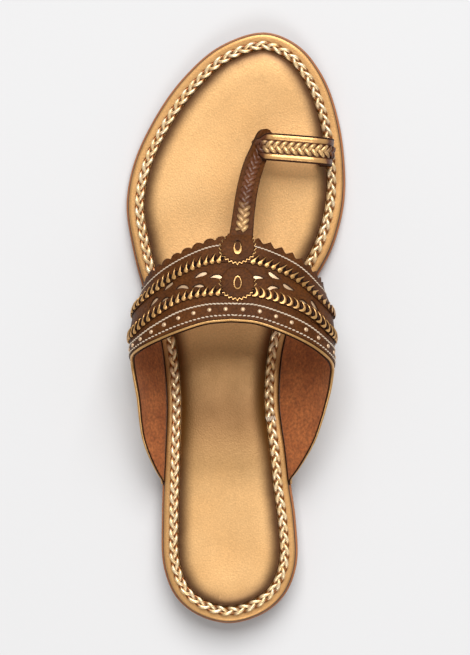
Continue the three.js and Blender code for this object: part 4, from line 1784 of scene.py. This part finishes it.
@dataclass
class Strap:
    """The decorated strap over the base: three overlapping leathers, lapped like tiles."""

    band: BandForm
    bench: Bench
    thickness: float = 0.6
    tooth_pitch: float = 5.2
    tooth_depth: float = 2.0
    rounded_depth: float = 1.35
    lap: float = 4.2
    medallion_half: float = 6.6
    medallion_u: float = 2.4
    rear_middle_u: float = 1.3
    lace_pitch: float = 2.85
    # The place around, from 0 on top to 1 at the outsole, where the laces and the rows end.
    lace_reach: float = 0.945
    row_reach: float = 0.965
    # The flesh and grain sides of the gilt strip that shows through the slits.
    underlay_lifts: tuple[float, float] = (1.6, 1.78)
    # Each paisley slit on the flat pattern: where, turned how far, and how bent.
    slits: tuple[Slit, ...] = (
        Slit(-6.2, 20.2, 176, 0.9), Slit(-13.0, 20.8, 203, 0.3), Slit(-13.2, 16.2, 168, 1.3),
        Slit(-20.9, 16.0, 186, 1.1), Slit(-27.6, 16.2, 220, 0.3), Slit(-28.2, 10.6, 190, 1.4),
        Slit(-34.8, 9.4, 226, 0.4), Slit(-36.6, 3.2, 205, 1.2), Slit(-43.5, 1.0, 240, 0.5),
        Slit(10.4, 19.8, 4, -0.7), Slit(17.6, 20.2, -30, 0.4), Slit(17.0, 15.6, 12, -1.2),
        Slit(24.0, 15.4, -28, 0.4), Slit(30.4, 9.6, -4, -1.3), Slit(36.9, 7.9, -46, 0.3),
        Slit(37.6, 1.6, -30, -1.1), Slit(43.8, -1.0, -66, 0.4)
    )

    def pinked(self) -> Array:
        """The front cut, pinked into teeth, from the lateral to the medial side."""
        line = self.band.row_line("front", 620)
        along = lengths_along(line)
        wave = np.abs(((along - along[-1] / 2) / self.tooth_pitch + 0.5) % 1 - 0.5) * 2
        pointed = self.tooth_depth * (0.5 - smooth_step(wave, -0.25, 1.12))
        rounded = self.rounded_depth * (0.5 - wave**2.4)
        push = np.where(line[:, 0] < 0, rounded, pointed)
        return shifted(line, push[:, None])

    def between(self, front: str, rear: str, share: float, count: int = 260) -> Array:
        """A line between two rows of the band.

        Args:
            front: the row that a share of 1 lies on.
            rear: the row that a share of 0 lies on.
            share: where the line lies between them.
            count: how many points it gets.

        Returns:
            The line on the flat pattern, from the lateral to the medial side.
        """
        around = np.linspace(-1, 1, 401)
        v = self.band.row_y(rear, around) * (1 - share) + self.band.row_y(front, around) * share
        return evenly(np.stack([self.band.girth_at(around, v), v], axis=1), count)

    def layer(
        self, name: str, front: Array, rear: Array, lifts: tuple[float, float], holes: list[Array]
    ) -> Piece:
        """One leather of the strap.

        Args:
            name: its name.
            front: its front cut on the flat pattern, from the lateral to the medial side.
            rear: its rear cut.
            lifts: its flesh side's lift at its front and at its rear.
            holes: what is punched out of it.

        Returns:
            The leather, wrapped round the band.
        """
        outline = np.vstack([rear, front[::-1]])

        def low(flat: Array) -> Array:
            """The lift of the flesh side."""
            back = np.interp(flat[:, 0], rear[:, 0], rear[:, 1])
            return lifts[1] + (lifts[0] - lifts[1]) * np.clip((flat[:, 1] - back) / 12.0, 0, 1)

        cut = LeatherCut(outline, holes)
        return cut.solid(name, self.band.wrap, low, self.thickness, Finishes.BROWN)

    def build(self) -> None:
        """The three leathers and what is laced, sewn and set on them."""
        rear, second, first = (self.band.row_line(row, 200) for row in ("strap", "lace_2", "lace_1"))
        punched = [slit.outline() for slit in self.slits]
        for name, front, back, lifts, holes in (
            ("strap_rear", shifted(second, self.lap), rear, (1.55, 1.6), []),
            ("strap_middle", shifted(first, self.lap), second, (1.7, 2.1), punched),
            ("strap_front", self.pinked(), first, (1.65, 2.3), []),
        ):
            placed(self.layer(name, front, back, lifts, holes), Slot.UPPER)
        self.underlay()
        for side in Side:
            self.laced("lace_1", side, lift=2.75)
            self.laced("lace_2", side, lift=2.6)
            self.sewn(side)

    def underlay(self) -> None:
        """The gilt strip that shows through the punched slits."""
        rear, front = (self.between("lace_1", "lace_2", share, 160)[24:-24, None] for share in (0.02, 0.98))
        shares = np.linspace(0, 1, 9)[None, :, None]
        flat = rear * (1 - shares) + front * shares
        sides = [self.band.wrap(flat, np.full(flat.shape[:2], lift)) for lift in self.underlay_lifts]
        placed(grid_solid("slit_underlay", *sides, Finishes.STUD), Slot.UPPER)

    def half(self, line: Array, side: Side, middle: float, gap: float, reach: float) -> Array:
        """One side's half of a line.

        Args:
            line: the whole line on the flat pattern.
            side: which half.
            middle: the u of the middle.
            gap: how far from the middle it begins.
            reach: the place around at which it ends, above the outsole.

        Returns:
            The half, from the middle outwards.
        """
        around = self.band.around_at(line[:, 0], line[:, 1])
        kept = ((line[:, 0] - middle) * side.value > gap) & (np.abs(around) < reach)
        return line[kept][:: side.value]

    def laced(self, row: str, side: Side, lift: float) -> None:
        """A laced strip: brown folds that lean over one another, each with a gilt lace whose thin front
        stroke is a painted highlight.

        Args:
            row: the row that it ends at.
            side: which half.
            lift: how far over the band's inside it lies.
        """
        whole = shifted(self.band.row_line(row, 600), 2.0)
        line = self.half(whole, side, self.medallion_u, self.medallion_half + 0.5, self.lace_reach)
        guide = Guide.on(self.band, line, lift)
        leaning = side.value
        if row == "lace_2" and side is Side.MEDIAL:
            path = [(-1.7, 2.4, 0.1), (-0.6, 1.7, 0.45), (0.3, 0.8, 0.6), (0.8, -0.2, 0.6),
                    (0.85, -1.1, 0.5), (0.2, -1.9, 0.3), (-0.9, -2.2, 0.1)]
            widths = np.array([0.3, 0.36, 0.44, 0.54, 0.7, 0.92, 1.1, 1.25, 1.25, 0.95, 0.45])
            slant, hole = 24, (-0.45, -0.7)
        else:
            path = [(1.4, 2.1, 0.1), (1.0, 1.4, 0.45), (0.4, 0.4, 0.6), (-0.2, -0.6, 0.6),
                    (-0.5, -1.4, 0.5), (-0.45, -2.0, 0.3), (-0.1, -2.4, 0.0)]
            path = [(x * leaning, y, z) for x, y, z in path]
            widths = np.array([0.28, 0.34, 0.38, 0.44, 0.56, 0.85, 1.4, 2.0, 2.1, 1.6, 0.8])
            slant, hole = -28 * leaning, (1.0 * leaning, -0.5)
        # The gilt lace's thick rear end is gold; its thin front stroke is a painted highlight along the
        # fold's edge.
        edge = Motif.hook(smooth_line(path, len(widths)), widths, 0.45)
        fold = Motif.pebble(2.0, 4.6, 0.72, slant=slant)
        # A dark pebble stands for each slot: painted shade in its hole.
        slot = Motif.pebble(1.0, 2.6, 0.62, slant=slant).moved(*hole)
        for name, motif, finish in (
            ("folds", fold, Finishes.BROWN), ("slots", slot, Finishes.SLOT),
            ("gilt_edges", edge, Finishes.GILT)
        ):
            if side is Side.LATERAL:
                motif = motif.mirrored()
            name = f"{row}_{side.column}_{name}"
            placed(self.bench.row(name, guide, motif, self.lace_pitch, finish), Slot.UPPER)

    def sewn(self, side: Side) -> None:
        """The cords, the gold studs and the stitches of one half.

        Args:
            side: which half.
        """
        stitch = Motif.pebble(1.6, 0.62, 0.34, slant=12 * side.value)
        twist = Motif.pebble(2.0, 0.62, 0.38, slant=14 * side.value)
        stud = Motif.pebble(2.0, 2.0, 0.55)
        front, rear = ("front", "lace_1", self.medallion_u), ("lace_2", "strap", self.rear_middle_u)
        # Each row's place between two rows of the band, its motif, pitch and lift, and the gap it
        # leaves in the middle.
        for name, (ahead, behind, middle), share, motif, pitch, lift, finish, gap in (
            ("front_cord", front, 0.70, twist, 1.5, 2.32, Finishes.THREAD, 7.0),
            ("rear_cord", rear, 0.66, twist, 1.6, 2.2, Finishes.THREAD, 0.2),
            ("studs", rear, 0.43, stud, 6.6, 2.12, Finishes.STUD, 3.3),
            ("rear_stitches", rear, 0.16, stitch, 1.75, 2.16, Finishes.THREAD, 0.4),
        ):
            line = self.half(self.between(ahead, behind, share, 500), side, middle, gap, self.row_reach)
            guide, name = Guide.on(self.band, line, lift), f"{name}_{side.column}"
            placed(self.bench.row(name, guide, motif, pitch, finish), Slot.UPPER)


@dataclass
class Medallion:
    """A serrated leather shield on the strap's middle line, with a drop-shaped hole over gilt."""

    band: BandForm
    name: str
    u: float
    hole_v: float
    lift: float
    # Half widths at levels v, from the rear tip to the front.
    shape: tuple[tuple[float, float], ...]
    sink: float = 0.0
    skew: float = 0.0
    hole_half: tuple[float, float] = (1.6, 2.9)
    gilt_hole: tuple[float, float] = (0.72, 0.9)
    serration: float = 0.45
    pitch: float = 1.7
    thickness: float = 0.7
    gilt_thickness: float = 0.3
    gilt_margin: float = 0.4

    def outline(self, margin: float) -> Array:
        """The shield's outline, with its teeth.

        Args:
            margin: how far it is moved out.

        Returns:
            The closed outline on the flat pattern.
        """
        v, half = np.array(self.shape).T
        right = smooth_line(np.stack([half, v], axis=1), 120)
        left = right[::-1] * [-1, 1]
        around = np.vstack([right, left])
        around = around[np.concatenate([[True], np.linalg.norm(np.diff(around, axis=0), axis=1) > 1e-3])]
        loop = evenly(np.vstack([around, around[:1]]), 220)[:-1]
        along = lengths_along(loop)
        total = along[-1] + np.linalg.norm(loop[0] - loop[-1])
        teeth = round(total / self.pitch)
        wave = np.abs((along / total * teeth) % 1 - 0.5) * 2
        tangent = unit(np.roll(loop, -1, axis=0) - np.roll(loop, 1, axis=0))
        outwards = np.stack([tangent[:, 1], -tangent[:, 0]], axis=1)
        toothed = 1 - smooth_step(loop[:, 1], max(v) - 5.0, max(v) - 3.0)
        push = (margin + self.serration * (wave - 0.5) * 2) * toothed
        moved = loop + outwards * push[:, None]
        skewed = self.skew * smooth_step(moved[:, 1], self.hole_v + 1.0, max(v))
        return moved + np.stack([self.u + skewed, skewed * 0], axis=1)

    def hole(self, size: float = 1.0, forward: float = 0.0) -> Array:
        """The drop-shaped hole, wider at its rear.

        Args:
            size: the share of its whole size.
            forward: how far towards the toes it is moved.

        Returns:
            Its outline on the flat pattern.
        """
        t = np.linspace(0, math.tau, 26, endpoint=False)
        x = self.hole_half[0] * size * np.sin(t) * (1.0 - 0.12 * np.cos(t))
        y = self.hole_half[1] * size * np.cos(t)
        return np.stack([self.u + x, self.hole_v + forward + y], axis=1)

    def build(self) -> None:
        """The gilt shield below and the brown one over it."""

        def low(flat: Array) -> Array:
            """The gilt shield's lift: it sinks towards its front."""
            return self.lift - self.sink * smooth_step(flat[:, 1], self.hole_v + 1.0, self.hole_v + 8.0)

        def on_gilt(flat: Array) -> Array:
            """The brown shield's lift: pressed onto the gilt one."""
            return low(flat) + self.gilt_thickness - 0.02

        gilt = LeatherCut(self.outline(self.gilt_margin), [self.hole(*self.gilt_hole)], drop=0.1)
        brown = LeatherCut(self.outline(0.0), [self.hole()])
        for part, cut, lift, thickness, finish in (
            ("gilt", gilt, low, self.gilt_thickness, Finishes.GILT),
            ("shield", brown, on_gilt, self.thickness, Finishes.BROWN)
        ):
            piece = cut.solid(f"{self.name}_{part}", self.band.wrap, lift, thickness, finish)
            placed(piece, Slot.UPPER)


@dataclass
class Ribbon:
    """A flat strap through space: its middle line, its way across and up, and its widths."""

    middle: Array
    across: Array
    up: Array
    width: Array

    def section(self, line: Sequence[tuple[float, float]]) -> Array:
        """The strap's skin: one loop of the section at each point of the middle line.

        Args:
            line: the section as shares of the width, from -1 to 1, and heights in millimetres.

        Returns:
            The loops' points, as rows and columns.
        """
        return np.stack([self.line(share, height) for share, height in line], axis=1)

    def line(self, share: float, height: float) -> Array:
        """The points along the strap at a share of its half width and a height."""
        return self.middle + self.across * (share * self.width / 2)[:, None] + self.up * height

    def part(self, ends: tuple[int, int]) -> "Ribbon":
        """The stretch of the strap between two points of its middle line."""
        span = slice(*ends)
        return Ribbon(self.middle[span], self.across[span], self.up[span], self.width[span])

    def rod(
        self, name: str, line: Sequence[tuple[float, float]], finish: Finish, gilt: Array | None = None
    ) -> Piece:
        """The strap as a closed solid.

        Args:
            name: the object's name.
            line: its section.
            finish: what it is covered in.
            gilt: how gilded it is at each point of its middle line.

        Returns:
            The object, with the distance from its long edges in its seam attribute.
        """
        skin = self.section(line)
        stops, around = skin.shape[:2]
        faces = loft_faces(stops, around, closed=True)
        faces += [list(range(around))[::-1], [(stops - 1) * around + k for k in range(around)]]
        seam = np.array([(1 - abs(share)) for share, _ in line])[None, :] * self.width[:, None] / 2
        attributes = {"seam": seam}
        if gilt is not None:
            attributes["gilt"] = np.broadcast_to(gilt.reshape(stops, -1), seam.shape).copy()
        return finished(name, skin.reshape(-1, 3), faces, finish, attributes, crease=50.0)

    def guide(self, share: float, height: float, gilt: Array | None = None) -> Guide:
        """A guide along the strap.

        Args:
            share: how far across it lies, from -1 to 1.
            height: how high over the middle line.
            gilt: how gilded it is at each point.

        Returns:
            The guide.
        """
        return Guide(self.line(share, height), self.up, False, gilt)


@dataclass
class ToeStrap:
    """The toe strap: brown leather with plain margins and a plait let into its middle."""

    bench: Bench
    thickness: float = 2.3
    lane: float = 5.2
    thong_width: float = 1.9
    thong_height: float = 0.85
    v_pitch: float = 2.9
    gilded_length: float = 17.0
    lean: float = -26.0
    # The points of its middle line under the plait, of 60.
    plaited: tuple[int, int] = (9, 55)
    # Its section, as shares of half the width and of the thickness: rounded, with a lane on top.
    section: tuple[tuple[float, float], ...] = (
        (-0.94, -0.5), (0.94, -0.5), (1.0, -0.15), (1.0, 0.2), (0.95, 0.44), (0.84, 0.5), (0.6, 0.46),
        (0.3, 0.44), (0.0, 0.44), (-0.3, 0.44), (-0.6, 0.46), (-0.84, 0.5), (-0.95, 0.44), (-1.0, 0.2),
        (-1.0, -0.15)
    )
    route: SmoothTable = SmoothTable(
        "y x z width",
        (
            (31, 3.0, 47.6, 9.8), (36, 3.5, 46.0, 9.8), (41, 4.0, 44.4, 9.5), (46, 4.5, 42.6, 9.1),
            (58, 6.1, 36.6, 8.8), (68, 8.6, 30.6, 8.7), (74, 11.0, 26.9, 8.6), (78.5, 12.6, 25.2, 8.2),
            (81, 13.4, 24.7, 6.8), (82.2, 13.8, 24.5, 4.4), (82.8, 14.0, 24.4, 1.8),
        ),
    )

    def ribbon(self) -> Ribbon:
        """The strap's path, from under the band's front to the ring's shoulder."""
        stops = np.stack([self.route.column(name) for name in ("x", "y", "z")], axis=1)
        middle = evenly(smooth_line(stops, 200), 60)
        along = unit(np.gradient(middle, axis=0))
        across = unit(np.stack([along[:, 1], -along[:, 0], along[:, 0] * 0], axis=1))
        lean = np.radians(self.lean) * smooth_step(middle[:, 1], 60, 78)
        level = unit(np.cross(across, along))
        turned = unit(across * np.cos(lean)[:, None] + level * np.sin(lean)[:, None])
        return Ribbon(middle, turned, unit(np.cross(turned, along)), self.route.at("width", middle[:, 1]))

    def build(self) -> None:
        """The strap and the plait in its middle."""
        ribbon = self.ribbon()
        section = [(share, height * self.thickness) for share, height in self.section]
        placed(ribbon.rod("toe_strap_leather", section, Finishes.BROWN), Slot.UPPER)
        shown = ribbon.part(self.plaited)
        along = lengths_along(shown.middle)
        gilt = 0.32 * (1 - smooth_step(along, self.gilded_length * 0.15, self.gilded_length)) + 0.24
        plait = self.bench.plaits.grow(
            "toe_strap_plait", shown.guide(0.0, self.thickness * 0.44 + 0.25, gilt),
            Finishes.GILDED_PLAIT, Sway=(self.lane - self.thong_width) / 2, Lift=0.34,
            Strand_Width=self.thong_width, Strand_Height=self.thong_height,
            Rounds=round(along[-1] / (3 * self.v_pitch)), Steps=14
        )
        placed(plait, Slot.UPPER)


@dataclass
class ToeRing:
    """The ring for the big toe: a gilded band with a plait, with painted shade where it turns down."""

    sole: SoleForm
    bench: Bench
    width: float = 10.8
    thickness: float = 2.2
    centre: tuple[float, float] = (25.4, 74.4)
    turn: float = -0.08
    leg_end: float = 5.7
    shoulder: tuple[float, float] = (-14.8, -11.4)
    shoulder_width: float = 6.2
    lane: float = 5.4
    thong_width: float = 1.65
    thong_height: float = 0.9
    v_pitch: float = 2.8
    # The points of its middle line under the plait, of 76.
    plaited: tuple[int, int] = (14, 63)
    # The middle line over the toe: how far across, and how high over the footbed.
    arch: tuple[tuple[float, float], ...] = (
        (-13.8, 1), (-15.6, 4), (-16.3, 9.8), (-14.9, 15.4), (-10.2, 18.3), (-3.6, 18.9), (3.6, 18.8),
        (9.4, 17.8), (13.6, 14.6), (15.0, 9.4), (14.0, 4.2), (10.3, 1)
    )

    def place(self, across: Array, height: Array) -> Array:
        """Points of the ring's plane.

        Args:
            across: how far from the ring's centre, towards the medial side.
            height: how high over the footbed.

        Returns:
            The points.
        """
        x = self.centre[0] + math.cos(self.turn) * across
        y = self.centre[1] + math.sin(self.turn) * across
        level = self.sole.underside(self.centre[1]) + self.sole.footbed
        return np.stack([x, y, level + height], axis=-1)

    def ribbon(self) -> Ribbon:
        """The ring's path, from its lateral leg over the toe to its medial leg."""
        arch = np.array(self.arch)
        curve = evenly(smooth_line(self.place(arch[:, 0], arch[:, 1]), 400), 74)
        feet = self.place(arch[[0, -1], 0], np.full(2, self.leg_end - self.sole.footbed))
        middle = np.vstack([feet[:1], curve, feet[1:]])
        along = unit(np.gradient(middle, axis=0))
        forward = np.array([-math.sin(self.turn), math.cos(self.turn), 0.0])
        up = unit(np.cross(along, forward))
        across = np.tile(forward, (len(middle), 1))
        shoulder = smooth_step(middle[:, 0] - self.centre[0], *self.shoulder)
        width = self.shoulder_width + (self.width - self.shoulder_width) * shoulder
        return Ribbon(middle, across, up, width)

    def build(self) -> None:
        """The lining, the band, its bound edges and the plait."""
        ribbon = self.ribbon()
        x = ribbon.middle[:, 0] - self.centre[0]
        # The gilt keeps to where the ring faces up, so its legs get painted shade where they turn down;
        # towards both ends it also gives way to brown leather.
        high = smooth_step(ribbon.up[:, 2], 0.25, 0.75)
        gilt = high * smooth_step(x, -13.6, -8.5) * (1 - 0.8 * smooth_step(x, 9.0, 14.5))
        half = self.thickness / 2
        lining = [(-0.93, -half), (0.93, -half), (0.93, -half + 0.8), (-0.93, -half + 0.8)]
        outer = [
            (-0.98, -half + 0.9), (0.98, -half + 0.9), (1.0, 0.45), (0.97, half - 0.12), (0.9, half),
            (0.75, half + 0.1), (0.58, half - 0.02), (0.54, half - 0.25), (-0.54, half - 0.25),
            (-0.58, half - 0.02), (-0.75, half + 0.1), (-0.9, half), (-0.97, half - 0.12), (-1.0, 0.45)
        ]
        placed(ribbon.rod("toe_ring_lining", lining, Finishes.SUEDE), Slot.UPPER)
        margins = np.array([float(abs(share) > self.lane / self.width + 0.05) for share, _ in outer])
        band_gilt = gilt[:, None] * margins[None, :]
        placed(ribbon.rod("toe_ring_band", outer, Finishes.GILDED, band_gilt), Slot.UPPER)
        for share, name in ((0.985, "front"), (-0.985, "rear")):
            cord = self.bench.cords.grow(
                f"toe_ring_{name}_binding", ribbon.guide(share, half - 0.35), Finishes.BROWN, Width=0.9,
                Height=0.9, Step=0.8
            )
            placed(cord, Slot.UPPER)
        shown = ribbon.part(self.plaited)
        length = lengths_along(shown.middle)[-1]
        plait = self.bench.plaits.grow(
            "toe_ring_plait", shown.guide(0.0, half + 0.2, 0.2 + 0.8 * gilt[slice(*self.plaited)]),
            Finishes.GILDED_PLAIT, Sway=(self.lane - self.thong_width) / 2, Lift=0.42,
            Strand_Width=self.thong_width, Strand_Height=self.thong_height,
            Rounds=round(length / (3 * self.v_pitch)), Steps=16
        )
        placed(plait, Slot.UPPER)


# ---------------------------------------------------------------- studio


@dataclass
class Studio:
    """A pale floor, soft light and a camera nearly straight above; places in metres."""

    camera_x: float = 0.048
    camera_z: float = 1.5
    focal_mm: float = 194.0
    aim: tuple[float, float, float] = (0.0, 0.0, 0.01)
    floor_half_mm: float = 3000.0
    room_colour: str = "#f7f5f2"
    room_strength: float = 0.3
    # Each lamp's name, place, size and power in watts.
    lamps: tuple[tuple[str, tuple[float, float, float], float, float], ...] = (
        ("key", (0.35, 2.4, 3.6), 3.0, 205.0), ("heel", (0.3, -2.4, 3.2), 1.6, 38.0)
    )

    def build(self) -> None:
        """Sets up the floor, the lights and the camera."""
        self.floor()
        self.lights()
        self.camera()

    def floor(self) -> None:
        """A large sheet of studio paper."""
        half = self.floor_half_mm
        corners = [(-half, -half, 0), (half, -half, 0), (half, half, 0), (-half, half, 0)]
        sheet = finished("floor", np.array(corners, float), [[0, 1, 2, 3]], Finishes.FLOOR)
        sheet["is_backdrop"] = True

    def lights(self) -> None:
        """One broad light from the toes' side, a weaker one behind the heel and an even room."""
        world = bpy.data.worlds.new("studio")
        world.use_nodes = True
        background = world.node_tree.nodes["Background"]
        background.inputs["Color"].default_value = linear(self.room_colour)
        background.inputs["Strength"].default_value = self.room_strength
        bpy.context.scene.world = world
        for name, place, size, power in self.lamps:
            light = bpy.data.lights.new(name, "AREA")
            light.size, light.energy = size, power
            lamp = linked(name, light)
            lamp.location = place
            lamp.rotation_euler = (-Vector(place)).to_track_quat("-Z", "Y").to_euler()

    def camera(self) -> None:
        """The camera, whose picture has the toes at its top."""
        lens = bpy.data.cameras.new("camera")
        lens.lens, lens.sensor_width, lens.sensor_fit = self.focal_mm, 36.0, "AUTO"
        lens.clip_end = 20.0
        eye = linked("camera", lens)
        eye.location = (self.camera_x, 0.0, self.camera_z)
        look = Vector(self.aim) - eye.location
        eye.rotation_euler = (0.0, math.atan2(-look.x, -look.z), 0.0)
        scene = bpy.context.scene
        scene.camera = eye
        scene.view_settings.view_transform = "Standard"


def main() -> None:
    """Builds every piece around the frame, in the order a maker puts them together."""
    logging.basicConfig(level=logging.INFO, format="%(name)s: %(message)s")
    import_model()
    cad_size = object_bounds()
    sole = SoleForm()
    bench = Bench()
    band = BandForm(sole)
    front_shield = (
        (25.3, 0.0), (25.9, 2.2), (27.2, 4.6), (29.0, 6.4), (31.3, 7.0), (33.6, 6.6), (36.0, 5.5),
        (38.4, 4.9), (40.6, 4.75)
    )
    rear_shield = (
        (10.5, 0.0), (11.1, 2.4), (12.4, 4.8), (14.4, 6.5), (17.0, 7.0), (19.8, 6.3), (22.0, 4.6),
        (23.4, 3.0)
    )
    pieces = (
        Outsole(sole), Heel(sole), InsoleBoard(sole), Footbed(sole), PlaitedTrim(sole, bench),
        BandBase(band, bench), Strap(band, bench),
        Medallion(band, "front_medallion", 2.3, 31.6, 2.95, front_shield, sink=0.9, skew=1.6),
        Medallion(band, "rear_medallion", 2.5, 17.2, 2.75, rear_shield, gilt_hole=(0.8, 0.1)),
        ToeStrap(bench), ToeRing(sole, bench)
    )
    for maker in pieces:
        maker.build()
    Studio().build()
    sizes = {"cad": plain(cad_size), "visual": plain(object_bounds())}


def plain(box: Iterable[Iterable[float]]) -> list[list[float]]:
    """A box's corners as plain lists of numbers."""
    return [[float(value) for value in corner] for corner in box]


if __name__ == "__main__":
    main()
